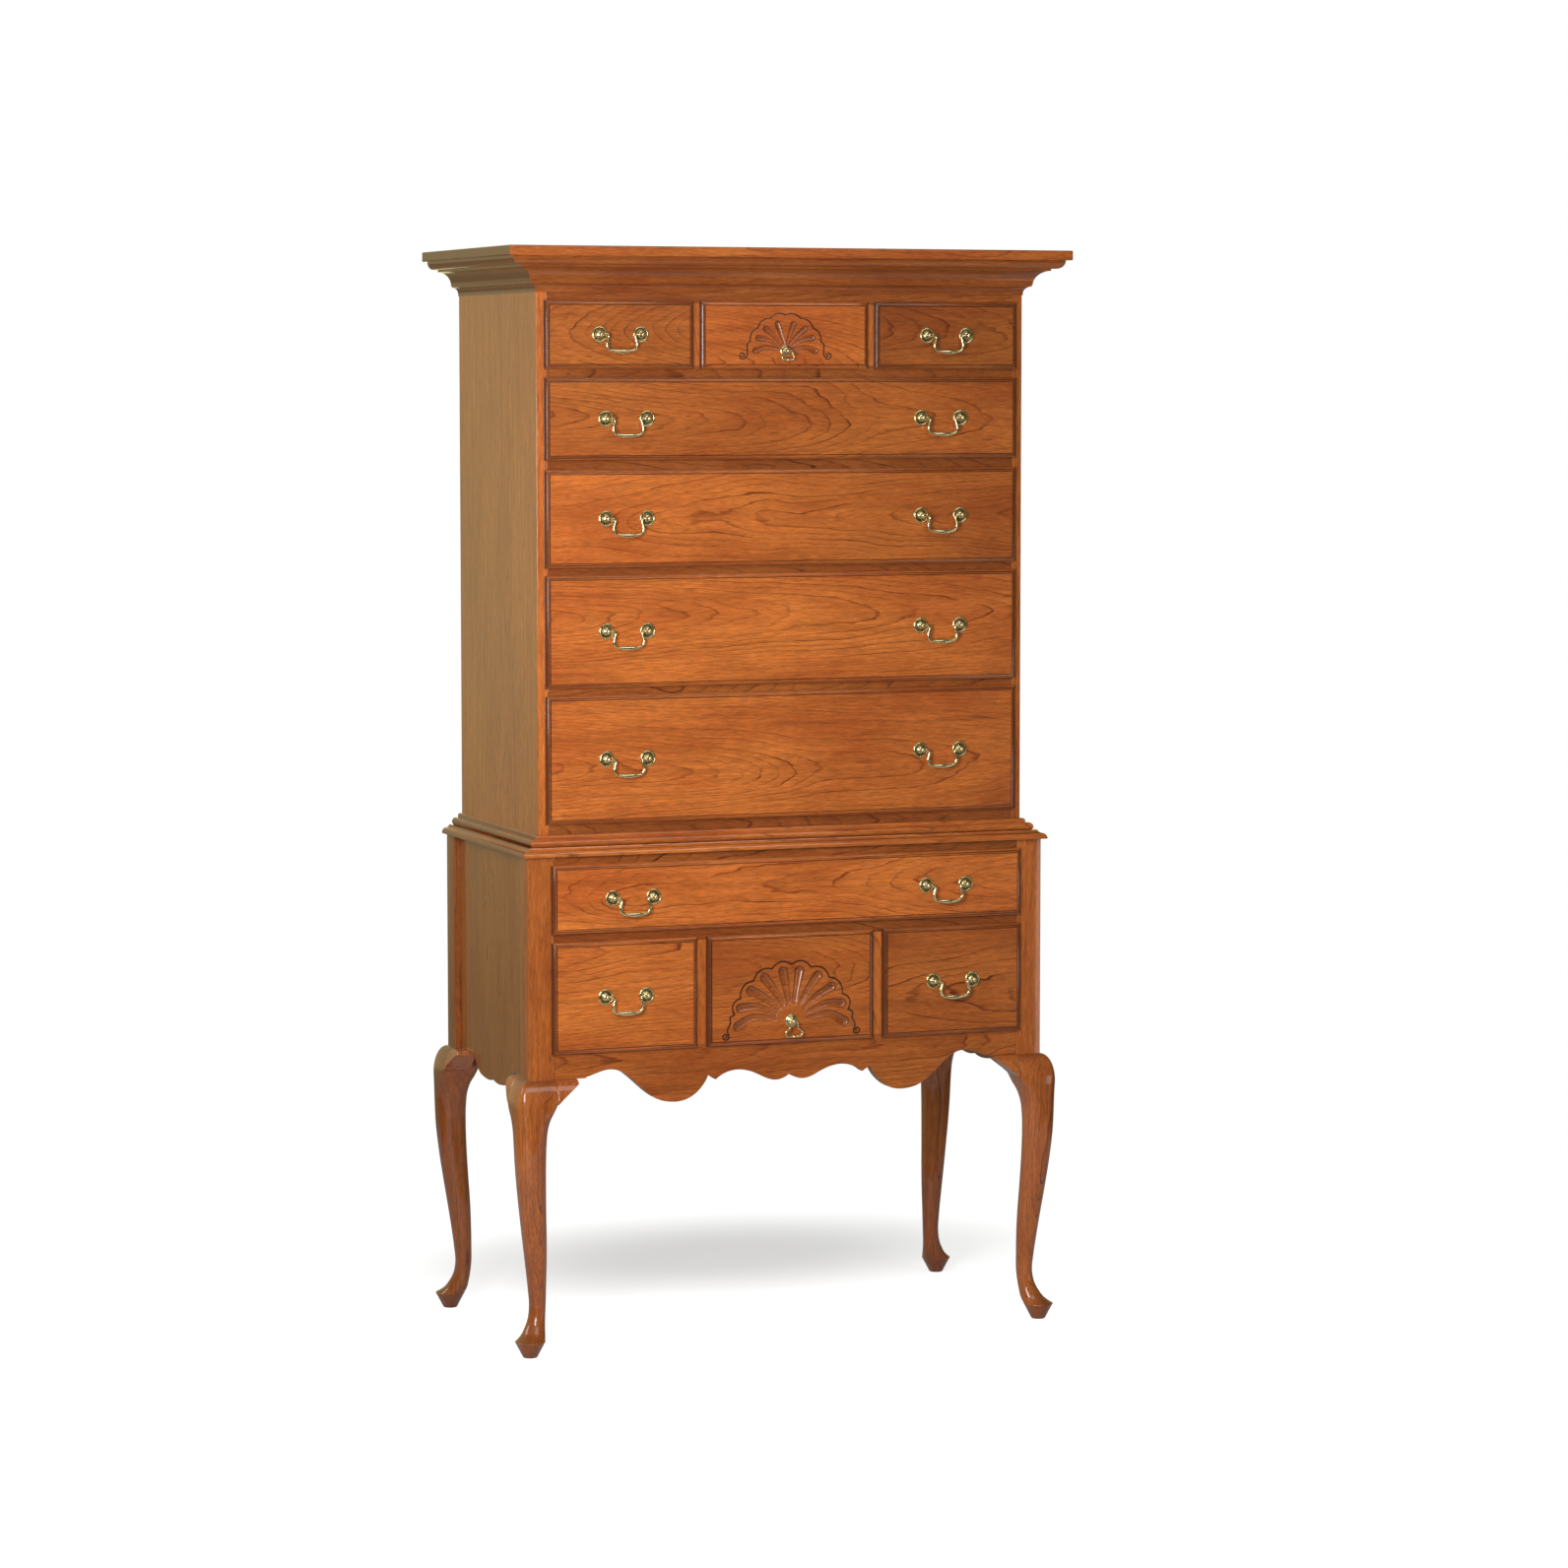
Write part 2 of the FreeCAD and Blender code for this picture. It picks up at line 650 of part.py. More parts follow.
def round_bar(path, radius):
    """Bar of round section along a flat path of straight runs and arcs."""
    runs = []
    for edge in path.Edges:
        start = edge.valueAt(edge.FirstParameter)
        onward = edge.tangentAt(edge.FirstParameter)
        disc = Part.Face(Part.Wire(Part.makeCircle(radius, start, onward)))
        if edge.Curve.TypeId == "Part::GeomLine":
            runs.append(disc.extrude(onward * edge.Length))
        else:
            turn = math.degrees(edge.LastParameter - edge.FirstParameter)
            runs.append(disc.revolve(edge.Curve.Center, edge.Curve.Axis, turn))
    return runs[0].fuse(runs[1:])


def bail():
    """Bail hanging from its pins; the hinge line is the X axis."""
    v = FreeCAD.Vector
    shoulder = pull_boring / 2 - post_ball - bail_end_play
    corners = [v(shoulder, 0, 0), v(bail_neck, 0, 0), v(bail_foot, 0, -bail_drop),
               v(-bail_foot, 0, -bail_drop), v(-bail_neck, 0, 0), v(-shoulder, 0, 0)]
    path = rounded_path(corners, [0, bail_bend, bail_corner, bail_corner, bail_bend, 0])
    body = round_bar(path, bail_wire)
    # the grip swells from just inside the wire's surface to its full radius, as a raised cosine
    sunk = 0.2
    steps = 8
    profile = []
    for k in range(steps + 1):
        swell = (grip_radius - bail_wire) * (1 + math.cos(math.pi * k / steps)) / 2
        profile.append(v(grip_half * k / steps, 0, -bail_drop + bail_wire - sunk + swell))
    crown = spline_edge([v(-p.x, p.y, p.z) for p in profile[:0:-1]] + profile)
    ends = [v(grip_half, 0, -bail_drop), v(-grip_half, 0, -bail_drop)]
    lines = [Part.LineSegment(profile[-1], ends[0]).toShape(), Part.LineSegment(ends[0], ends[1]).toShape(),
             Part.LineSegment(ends[1], v(-profile[-1].x, 0, profile[-1].z)).toShape()]
    grip = Part.Face(Part.Wire([crown] + lines)).revolve(v(0, 0, -bail_drop), v(1, 0, 0), 360)
    body = body.fuse(grip)
    tip = pull_boring / 2 - post_ball + pin_engage
    root = shoulder - 2.0
    for side in (-1, 1):
        body = body.fuse(Part.makeCylinder(pin_radius, tip - root, v(side * root, 0, 0), v(side, 0, 0)))
    return body.Solids[0]


upper_ring = ([(ring_top_half, 0), (upper_ring_foot_half, upper_ring_drop)], [ring_bend, upper_ring_corner])
lower_ring = ([(ring_top_half, 0), (lower_ring_neck_half, lower_ring_neck),
               (lower_ring_shoulder_half, lower_ring_shoulder), (lower_ring_foot_half, lower_ring_drop)],
              [ring_bend, lower_ring_corner, lower_ring_corner, lower_ring_corner])


def ring(outline, radii):
    """Drop ring in two halves, with a bead at the bottom; the hinge line is the X axis."""
    v = FreeCAD.Vector
    spots = [(0, 0)] + outline + [(0, outline[-1][1])]
    corners = [v(x, 0, -down) for x, down in spots]
    half = round_bar(rounded_path(corners, [0] + radii + [0]), ring_wire)
    bead = Part.makeSphere(ring_bead)
    bead.rotate(v(0, 0, 0), v(0, 1, 0), 90)
    bead.translate(corners[-1])
    return half.fuse(mirrored(half)).fuse(bead).Solids[0]


# ---------------------------------------------------------------- drawers

def flute_cutters(shell, x, face, z):
    """Tapered gouge cuts that fan out from the hub, each with a round end."""
    count, reach, end_radius, hub = shell
    cutters = []
    for k in range(count):
        turn = math.radians(90 - shell_spread / 2 + shell_spread * k / (count - 1))
        along = FreeCAD.Vector(math.cos(turn), 0, math.sin(turn))
        tail = end_radius * hub / reach
        start_out = tail - flute_depth * hub / reach
        end_out = end_radius - flute_depth
        start = FreeCAD.Vector(x, face - start_out, z) + along * hub
        end = FreeCAD.Vector(x, face - end_out, z) + along * (reach - end_radius)
        axis = end - start
        cone = Part.makeCone(tail, end_radius, axis.Length, start, axis)
        cutters.append(cone.fuse(Part.makeSphere(end_radius, end)))
    return cutters


def drawer_front(opening, row, front, bolts, shell):
    x0, x1 = opening
    z0, z1 = row
    lip_back = front - running_gap
    lip = box(x0 - lip_overlap, x1 + lip_overlap, lip_back - lip_thickness, lip_back,
              z0 - lip_overlap, z1 + lip_overlap)
    face_y = lip_back - lip_thickness
    edges = [edge for edge in lip.Edges if edge.BoundBox.YMax < face_y + 0.1]
    lip = lip.makeFillet(thumbnail_radius, edges)
    inset = field_border - lip_overlap
    field = box(x0 + inset, x1 - inset, face_y - field_rise, face_y + 1.0, z0 + inset, z1 - inset)
    plug = box(x0 + side_clearance, x1 - side_clearance, lip_back - 1.0, front + plug_depth,
               z0 + running_gap, z1 - top_clearance)
    body = lip.fuse(field).fuse(plug)
    for x, z in bolts:
        body = body.cut(Part.makeCylinder(bolt_radius + bolt_play, 60, FreeCAD.Vector(x, front - 30, z),
                                          FreeCAD.Vector(0, 1, 0)))
    if shell:
        for cutter in flute_cutters(shell, bolts[0][0], face_y - field_rise, bolts[0][1]):
            body = body.cut(cutter)
    return [body.removeSplitter().Solids[0]]


def drawer_box(opening, row, front, length):
    """Two grooved sides, a back standing on the bottom, and the bottom in the grooves."""
    x0, x1 = opening[0] + side_clearance, opening[1] - side_clearance
    z0, z1 = row[0] + running_gap, row[1] - top_clearance
    y0, y1 = front + plug_depth, front + length
    floor = z0 + bottom_rise
    ceiling = floor + bottom_board
    groove_left = box(x0 + box_board - groove_depth, x0 + box_board, y0, y1, floor, ceiling + groove_play)
    groove_right = box(x1 - box_board, x1 - box_board + groove_depth, y0, y1, floor, ceiling + groove_play)
    left = box(x0, x0 + box_board, y0, y1, z0, z1).cut(groove_left)
    right = box(x1 - box_board, x1, y0, y1, z0, z1).cut(groove_right)
    reach = groove_depth - groove_play
    bottom = box(x0 + box_board - reach, x1 - box_board + reach, y0, y1, floor, ceiling)
    back = box(x0 + box_board, x1 - box_board, y1 - box_board, y1, ceiling, z1)
    return [left.Solids[0], right.Solids[0], bottom, back]


def drawer_list():
    """Name, opening, row, case front, length, pull middles and shell of each drawer."""
    found = []
    for case, row, divider, front, length, shell in (
            ("upper", upper_rows[0], divider_upper, upper_front, upper_drawer_length, upper_shell),
            ("lower", lower_rows[1], divider_lower, lower_front, lower_drawer_length, lower_shell)):
        left, middle, right = three_openings(divider)
        found.append((case + "_left_drawer", left, row, front, length, [sum(left) / 2], None))
        found.append((case + "_shell_drawer", middle, row, front, length, [], shell))
        found.append((case + "_right_drawer", right, row, front, length, [sum(right) / 2], None))
    whole = (-opening_half, opening_half)
    both = [-long_drawer_pull, long_drawer_pull]
    names = ["second_drawer", "third_drawer", "fourth_drawer", "fifth_drawer"]
    for name, row in zip(names, upper_rows[1:]):
        found.append((name, whole, row, upper_front, upper_drawer_length, both, None))
    found.append(("lower_long_drawer", whole, lower_rows[0], lower_front, lower_drawer_length, both, None))
    return found


def save_drawer(name, opening, row, front, length, pulls, shell, bail_shape):
    face = front - running_gap - lip_thickness - field_rise
    back = front + plug_depth
    if shell:
        high = shell is upper_shell
        z = row[0] + (upper_shell_rise if high else lower_shell_rise)
        bolts = [(sum(opening) / 2, z)]
        mounts = ring_mount(bolts[0][0], z, face, back, upper_knob_radius if high else lower_knob_radius)
        hanging = ring(*(upper_ring if high else lower_ring))
        hanging.translate(FreeCAD.Vector(bolts[0][0], face - ring_reach, z))
        save(name + "_ring", [hanging])
    else:
        z = sum(row) / 2 + pull_raise
        bolts = [(x + side * pull_boring / 2, z) for x in pulls for side in (-1, 1)]
        mounts = [piece for x in pulls for piece in bail_mounts(x, z, face, back)]
        for number, x in enumerate(pulls):
            hanging = bail_shape.copy()
            hanging.translate(FreeCAD.Vector(x, face - post_reach, z))
            side = ("_left", "_right")[number] if len(pulls) > 1 else ""
            save(name + side + "_bail", [hanging])
    save(name + "_front", drawer_front(opening, row, front, bolts, shell))
    save(name + "_box", drawer_box(opening, row, front, length))
    save(name + "_pull_mounts", mounts)


def build():
    os.makedirs("parts", exist_ok=True)
    save("cabriole_legs", cabriole_legs())
    save("knee_blocks", knee_blocks())
    save("lower_case_sides", lower_case_sides())
    save("front_apron", front_apron())
    save("lower_case_rails", lower_case_rails())
    save("waist_moulding", waist_moulding())
    save("upper_case_sides", upper_case_sides())
    save("upper_case_rails", upper_case_rails())
    save("cornice_moulding", cornice_moulding())
    save("cornice_board", cornice_board())
    save("inner_boards", upper_inner_boards() + lower_inner_boards())
    bail_shape = bail()
    for drawer in drawer_list():
        save_drawer(*drawer, bail_shape)


build()
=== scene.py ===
import json
import math

import bmesh
import bpy
import numpy as np
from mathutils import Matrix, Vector

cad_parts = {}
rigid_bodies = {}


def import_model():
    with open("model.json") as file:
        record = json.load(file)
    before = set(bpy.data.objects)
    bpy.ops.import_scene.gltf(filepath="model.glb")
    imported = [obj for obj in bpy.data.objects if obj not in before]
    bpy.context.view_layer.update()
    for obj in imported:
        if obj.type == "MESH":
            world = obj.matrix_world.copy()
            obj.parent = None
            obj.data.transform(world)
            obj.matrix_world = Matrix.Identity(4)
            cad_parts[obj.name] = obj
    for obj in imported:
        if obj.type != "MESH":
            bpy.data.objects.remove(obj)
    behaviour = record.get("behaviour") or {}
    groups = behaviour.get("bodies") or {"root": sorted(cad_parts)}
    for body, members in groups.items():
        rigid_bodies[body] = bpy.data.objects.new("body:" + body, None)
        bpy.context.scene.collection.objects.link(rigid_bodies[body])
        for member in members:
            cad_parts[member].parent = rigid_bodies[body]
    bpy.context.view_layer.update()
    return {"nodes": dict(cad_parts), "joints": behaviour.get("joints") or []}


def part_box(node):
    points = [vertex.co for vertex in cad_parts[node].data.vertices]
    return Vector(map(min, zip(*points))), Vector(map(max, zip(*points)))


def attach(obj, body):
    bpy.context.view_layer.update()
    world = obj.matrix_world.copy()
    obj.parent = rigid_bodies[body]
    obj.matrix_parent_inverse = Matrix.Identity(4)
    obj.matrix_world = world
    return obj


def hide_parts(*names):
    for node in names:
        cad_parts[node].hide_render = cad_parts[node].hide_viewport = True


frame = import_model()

# Looks for a cherry highboy with brass pulls. Metres; lengths in the dictionaries are millimetres.
mm = 0.001
joints = {joint["child"]: joint for joint in frame["joints"]}
drawers = [name[:-6] for name in frame["nodes"] if name.endswith("_front")]


def linear(code):
    # sRGB hex to the linear values that a shader takes
    parts = [int(code[i:i + 2], 16) / 255 for i in (1, 3, 5)]
    return tuple(p / 12.92 if p <= 0.04045 else ((p + 0.055) / 1.055) ** 2.4 for p in parts) + (1.0,)


def add(tree, kind, inputs=(), **settings):
    # a node with its settings; an input is a value, a socket, or a node whose first output it takes
    made = tree.nodes.new("ShaderNode" + kind)
    for key, value in settings.items():
        setattr(made, key, value)
    for key, value in dict(inputs).items():
        source = value.outputs[0] if isinstance(value, bpy.types.Node) else value
        if isinstance(source, bpy.types.NodeSocket):
            tree.links.new(source, made.inputs[key])
        else:
            made.inputs[key].default_value = source
    return made


def startFinish(name):
    finish = bpy.data.materials.new(name)
    finish.use_nodes = True
    finish.node_tree.nodes.clear()
    return finish, finish.node_tree


# ---- finishes

cherry = {
    # side is the olive cast painted on side-facing boards for the cool light from the side
    "heart": "#CB7130", "late": "#5E250B", "ruddy": "#9A4318", "side": "#A06C30", "groove": "#240E05",
    # groove is the dark colour of the painted shade in the quirks, round the lips and in the shell carving
    "endGrain": "#5A2A12", "ringSpacing": 5.6, "ringDepth": 1.0, "mottle": 0.62, "fibre": 0.26,
    "roughness": 0.4, "specular": 0.25, "coat": 1.0, "coatRoughness": 0.08,
}


def cherryFinish(name, look):
    # lacquered cherry, planed and sanded: growth rings cut by the board's face make arches and stripes,
    # over soft mottling and short fibres; a thin clear coat gives the crisp highlights
    finish, tree = startFinish(name)
    board = add(tree, "Attribute", attribute_name="board")
    growth = add(tree, "Attribute", attribute_name="growth")
    stain = add(tree, "Attribute", attribute_name="stain")
    place = board.outputs["Vector"]
    where = add(tree, "SeparateXYZ", {0: place})
    kind = add(tree, "SeparateXYZ", {0: growth.outputs["Vector"]})
    slope, tone, cool = kind.outputs

    # the tree's axis wanders along the board
    slowPlace = add(tree, "VectorMath", {0: place, 1: (2.1, 5.0, 5.0)}, operation="MULTIPLY")
    slow = add(tree, "TexNoise", {"Vector": slowPlace, "Scale": 1.0, "Detail": 2.0, "Roughness": 0.45})
    wander = add(tree, "SeparateColor", {0: slow.outputs["Color"]})
    run = add(tree, "Math", {0: where.outputs[0], 1: slope}, operation="MULTIPLY")
    deep = add(tree, "Math", {0: wander.outputs[0], 1: 0.05, 2: run}, operation="MULTIPLY_ADD")
    depth = add(tree, "Math", {0: deep, 1: where.outputs[2]}, operation="ADD")
    aside = add(tree, "Math", {0: wander.outputs[1], 1: 0.05, 2: where.outputs[1]}, operation="MULTIPLY_ADD")
    across = add(tree, "Math", {0: aside, 1: 0.025}, operation="SUBTRACT")
    depthSquare = add(tree, "Math", {0: depth, 1: depth}, operation="MULTIPLY")
    square = add(tree, "Math", {0: across, 1: across, 2: depthSquare}, operation="MULTIPLY_ADD")
    radius = add(tree, "Math", {0: square}, operation="SQRT")
    ripplePlace = add(tree, "VectorMath", {0: place, 1: (16.0, 70.0, 70.0)}, operation="MULTIPLY")
    ripple = add(tree, "TexNoise", {"Vector": ripplePlace, "Scale": 1.0, "Detail": 2.0})
    waved = add(tree, "Math", {0: ripple, 1: 0.0042, 2: radius}, operation="MULTIPLY_ADD")
    # here and there the rings bulge round a hidden knot
    knotPlace = add(tree, "VectorMath", {0: place, 1: (2.2, 7.0, 7.0)}, operation="MULTIPLY")
    knot = add(tree, "TexVoronoi", {"Vector": knotPlace, "Scale": 1.0}, feature="SMOOTH_F1")
    bulge = add(tree, "MapRange", {0: knot, 1: 0.0, 2: 0.3, 3: 0.012, 4: 0.0}, interpolation_type="SMOOTHSTEP")
    rippled = add(tree, "Math", {0: waved, 1: bulge}, operation="SUBTRACT")
    count = add(tree, "Math", {0: rippled, 1: look["ringSpacing"] * mm}, operation="DIVIDE")
    phase = add(tree, "Math", {0: count}, operation="FRACT")
    rank = add(tree, "Math", {0: count}, operation="FLOOR")
    chance = add(tree, "TexWhiteNoise", {"W": rank}, noise_dimensions="1D")
    # a thin dark line at the end of each year's growth, after a faint darkening towards it
    rise = add(tree, "MapRange", {0: phase, 1: 0.74, 2: 0.92}, interpolation_type="SMOOTHSTEP")
    shoulder = add(tree, "MapRange", {0: phase, 1: 0.15, 2: 0.85, 3: 0.0, 4: 0.22})
    fall = add(tree, "MapRange", {0: phase, 1: 0.94, 2: 1.0, 3: 1.0, 4: 0.0}, interpolation_type="SMOOTHSTEP")
    climb = add(tree, "Math", {0: rise, 1: shoulder}, operation="MAXIMUM")
    ring = add(tree, "Math", {0: climb, 1: fall}, operation="MULTIPLY")
    strong = add(tree, "MapRange", {0: chance, 1: 0.0, 2: 1.0, 3: 0.25, 4: 1.0})
    fadePlace = add(tree, "VectorMath", {0: place, 1: (9.0, 40.0, 40.0)}, operation="MULTIPLY")
    fade = add(tree, "TexNoise", {"Vector": fadePlace, "Scale": 1.0, "Detail": 2.0})
    clear = add(tree, "MapRange", {0: fade, 1: 0.34, 2: 0.6, 3: 0.3, 4: 1.0})
    drawn = add(tree, "Math", {0: strong, 1: clear}, operation="MULTIPLY")
    late = add(tree, "Math", {0: ring, 1: drawn}, operation="MULTIPLY")
    lateShare = add(tree, "Math", {0: late, 1: look["ringDepth"]}, operation="MULTIPLY")

    # mottling, then fibres 2 mm wide and 2 cm long, coarser than real ones so that they show
    cloudPlace = add(tree, "VectorMath", {0: place, 1: (3.0, 9.0, 9.0)}, operation="MULTIPLY")
    cloud = add(tree, "TexNoise", {"Vector": cloudPlace, "Scale": 1.0, "Detail": 2.0, "Roughness": 0.5})
    patchPlace = add(tree, "VectorMath", {0: place, 1: (14.0, 45.0, 45.0)}, operation="MULTIPLY")
    patch = add(tree, "TexNoise", {"Vector": patchPlace, "Scale": 1.0, "Detail": 3.0, "Roughness": 0.6})
    mixed = add(tree, "Math", {0: patch, 1: 0.4, 2: cloud}, operation="MULTIPLY_ADD")
    cloudShare = add(tree, "MapRange", {0: mixed, 1: 0.52, 2: 0.88, 3: 0.0, 4: look["mottle"]})
    fibrePlace = add(tree, "VectorMath", {0: place, 1: (50.0, 520.0, 520.0)}, operation="MULTIPLY")
    fibre = add(tree, "TexNoise", {"Vector": fibrePlace, "Scale": 1.0, "Detail": 3.0, "Roughness": 0.6})
    fibreLow, fibreHigh = 1 - look["fibre"], 1 + look["fibre"]
    fibreGain = add(tree, "MapRange", {0: fibre, 1: 0.32, 2: 0.68, 3: fibreLow, 4: fibreHigh})
    # gum streaks: rare dark flecks along the grain
    gumPlace = add(tree, "VectorMath", {0: place, 1: (38.0, 420.0, 420.0)}, operation="MULTIPLY")
    gum = add(tree, "TexNoise", {"Vector": gumPlace, "Scale": 1.0, "Detail": 1.0})
    gumShare = add(tree, "MapRange", {0: gum, 1: 0.74, 2: 0.8, 3: 0.0, 4: 0.7})

    body = add(tree, "MixRGB", {0: lateShare, 1: linear(look["heart"]), 2: linear(look["late"])})
    ruddy = add(tree, "MixRGB", {0: cloudShare, 1: body, 2: linear(look["ruddy"])})
    flecked = add(tree, "MixRGB", {0: gumShare, 1: ruddy, 2: linear(look["late"])})
    # the cool value mixes in the side colour: an olive cast painted on side-facing boards for the cool light from the
    # side
    paintedSideCast = add(tree, "MixRGB", {0: cool, 1: flecked, 2: linear(look["side"])})
    # the board's tone sets its brightness; on rails, stiles, lower sides, waist sides and back legs it carries painted
    # light and shade
    gain = add(tree, "Math", {0: tone, 1: 0.5, 2: 1.0}, operation="MULTIPLY_ADD")
    # long pale and dark streaks, 1 cm wide
    streakPlace = add(tree, "VectorMath", {0: place, 1: (5.0, 110.0, 110.0)}, operation="MULTIPLY")
    streak = add(tree, "TexNoise", {"Vector": streakPlace, "Scale": 1.0, "Detail": 2.0})
    streakGain = add(tree, "MapRange", {0: streak, 1: 0.3, 2: 0.7, 3: 0.87, 4: 1.13})
    fine = add(tree, "Math", {0: streakGain, 1: fibreGain}, operation="MULTIPLY")
    bright = add(tree, "Math", {0: gain, 1: fine}, operation="MULTIPLY")
    toned = add(tree, "VectorMath", {0: paintedSideCast, "Scale": bright}, operation="SCALE")
    # end grain drinks the finish and goes dark wherever the surface cuts across the fibres
    fibres = add(tree, "Attribute", attribute_name="fibres")
    facing = add(tree, "TexCoord").outputs["Normal"]
    cut = add(tree, "VectorMath", {0: facing, 1: fibres.outputs["Vector"]}, operation="DOT_PRODUCT")
    cutAway = add(tree, "Math", {0: cut.outputs["Value"]}, operation="ABSOLUTE")
    endShare = add(tree, "MapRange", {0: cutAway, 1: 0.1, 2: 0.55, 3: 0.0, 4: 0.85}, interpolation_type="SMOOTHSTEP")
    ended = add(tree, "MixRGB", {0: endShare, 1: toned, 2: linear(look["endGrain"])})
    # the dark mix below is painted shade in the quirks, round the lips and in the shell carving, and a little darkening
    # on the moulded edges
    colour = add(tree, "MixRGB", {0: stain.outputs["Fac"], 1: ended, 2: linear(look["groove"])})

    height = add(tree, "Math", {0: fibre, 1: late}, operation="SUBTRACT")
    relief = add(tree, "Bump", {"Strength": 0.16, "Distance": 0.0002, "Height": height})
    shader = add(tree, "BsdfPrincipled", {
        "Base Color": colour, "Roughness": look["roughness"], "Specular IOR Level": look["specular"],
        "IOR": 1.5, "Normal": relief,
        "Coat Weight": look["coat"], "Coat Roughness": look["coatRoughness"], "Coat IOR": 1.5})
    add(tree, "OutputMaterial", {0: shader})
    return finish


secondary = {"heart": "#D8B98A", "late": "#B48A58", "ringSpacing": 5.5, "roughness": 0.62}


def secondaryFinish(name, look):
    # bare planed poplar or pine of the insides: pale, dry, with faint stripes
    finish, tree = startFinish(name)
    board = add(tree, "Attribute", attribute_name="board")
    place = board.outputs["Vector"]
    where = add(tree, "SeparateXYZ", {0: place})
    bendPlace = add(tree, "VectorMath", {0: place, 1: (3.0, 9.0, 9.0)}, operation="MULTIPLY")
    bend = add(tree, "TexNoise", {"Vector": bendPlace, "Scale": 1.0, "Detail": 2.0})
    depthSquare = add(tree, "Math", {0: where.outputs[2], 1: where.outputs[2]}, operation="MULTIPLY")
    square = add(tree, "Math", {0: where.outputs[1], 1: where.outputs[1], 2: depthSquare}, operation="MULTIPLY_ADD")
    radius = add(tree, "Math", {0: square}, operation="SQRT")
    bent = add(tree, "Math", {0: bend, 1: 0.05, 2: radius}, operation="MULTIPLY_ADD")
    count = add(tree, "Math", {0: bent, 1: look["ringSpacing"] * mm}, operation="DIVIDE")
    phase = add(tree, "Math", {0: count}, operation="FRACT")
    rise = add(tree, "MapRange", {0: phase, 1: 0.3, 2: 0.95, 3: 0.0, 4: 0.55}, interpolation_type="SMOOTHSTEP")
    fibrePlace = add(tree, "VectorMath", {0: place, 1: (30.0, 700.0, 700.0)}, operation="MULTIPLY")
    fibre = add(tree, "TexNoise", {"Vector": fibrePlace, "Scale": 1.0, "Detail": 3.0})
    body = add(tree, "MixRGB", {0: rise, 1: linear(look["heart"]), 2: linear(look["late"])})
    gain = add(tree, "MapRange", {0: fibre, 1: 0.3, 2: 0.7, 3: 0.88, 4: 1.1})
    toned = add(tree, "VectorMath", {0: body, "Scale": gain}, operation="SCALE")
    relief = add(tree, "Bump", {"Strength": 0.25, "Distance": 0.0002, "Height": fibre})
    shader = add(tree, "BsdfPrincipled", {"Base Color": toned, "Roughness": look["roughness"], "Normal": relief})
    add(tree, "OutputMaterial", {0: shader})
    return finish


brass = {"clean": "#F8EAB6", "worn": "#75622D", "roughness": 0.2}


def brassFinish(name, look):
    # polished and lacquered cast brass: pale gold, a little darker and duller where the buff didn't reach
    finish, tree = startFinish(name)
    place = add(tree, "TexCoord").outputs["Object"]
    cloud = add(tree, "TexNoise", {"Vector": place, "Scale": 260.0, "Detail": 3.0})
    recess = add(tree, "Attribute", attribute_name="stain")
    cloudShare = add(tree, "MapRange", {0: cloud, 1: 0.45, 2: 0.75, 3: 0.0, 4: 0.35})
    share = add(tree, "Math", {0: cloudShare, 1: recess.outputs["Fac"]}, operation="ADD", use_clamp=True)
    colour = add(tree, "MixRGB", {0: share, 1: linear(look["clean"]), 2: linear(look["worn"])})
    rough = add(tree, "MapRange", {0: share, 1: 0.0, 2: 1.0, 3: look["roughness"], 4: look["roughness"] + 0.2})
    shader = add(tree, "BsdfPrincipled", {"Base Color": colour, "Metallic": 1.0, "Roughness": rough})
    add(tree, "OutputMaterial", {0: shader})
    return finish


finishes = {
    "cherry": cherryFinish("lacqueredCherry", cherry),
    "secondary_wood": secondaryFinish("planedPoplar", secondary),
    "brass": brassFinish("polishedBrass", brass),
}
print("finishes", len(finishes))


# ---- meshes

def gridFaces(rows, columns, wrap=False):
    # quads between neighbouring rows of points; wrap also joins the last column to the first
    start = np.arange(rows - 1)[:, None] * columns
    here = np.arange(columns if wrap else columns - 1)[None, :]
    onward = (here + 1) % columns
    return np.stack([start + here, start + onward, start + onward + columns, start + here + columns], -1).reshape(-1, 4)


def ringFaces(rows, columns):
    # a closed tube of rings with a cap at each end
    first = np.arange(columns)[None, ::-1]
    last = np.arange(columns)[None, :] + (rows - 1) * columns
    return [gridFaces(rows, columns, True), first, last]


def chance(seed, count):
    return np.random.RandomState(seed % 100003).random_sample(count)


def grainValues(points, axes, seed, pith=None, slope=None, tone=None, cool=0.0, endDark=1.0, lean=0.0, edge=None):
    # place of each point in its own board: along the grain, across it from the tree's axis, and in depth;
    # then the board's slope, tone and cast, and the direction of its fibres, short where ends stay light;
    # lean makes one end darker, and edge gives the board's front edge its own tone and cast, used to paint light and
    # shade on the stiles
    luck = chance(seed, 6)
    along, across, deep = (points[:, axis] for axis in axes)
    aside, under = pith if pith else ((luck[0] - 0.5) * 120 * mm, (35 + 50 * luck[1]) * mm)
    middle = (across.min() + across.max()) / 2
    board = np.stack([along + 3 + 17 * luck[2], across - middle - aside, deep - deep.min() + under], -1)
    bend = slope if slope is not None else (luck[3] - 0.5) * 0.06
    board[:, 2] -= bend * board[:, 0].mean()
    shade = tone if tone is not None else (luck[4] - 0.5) * 0.3
    fibres = np.eye(3)[axes[0]] * endDark
    growth = np.tile([bend, shade, cool], (len(points), 1))
    growth[:, 1] += lean * (2 * (along - along.min()) / np.ptp(along) - 1)
    if edge:
        growth[points[:, 1] < points[:, 1].min() + 0.1 * mm, 1:] = edge
    return {"board": board, "growth": growth, "fibres": np.tile(fibres, (len(points), 1))}


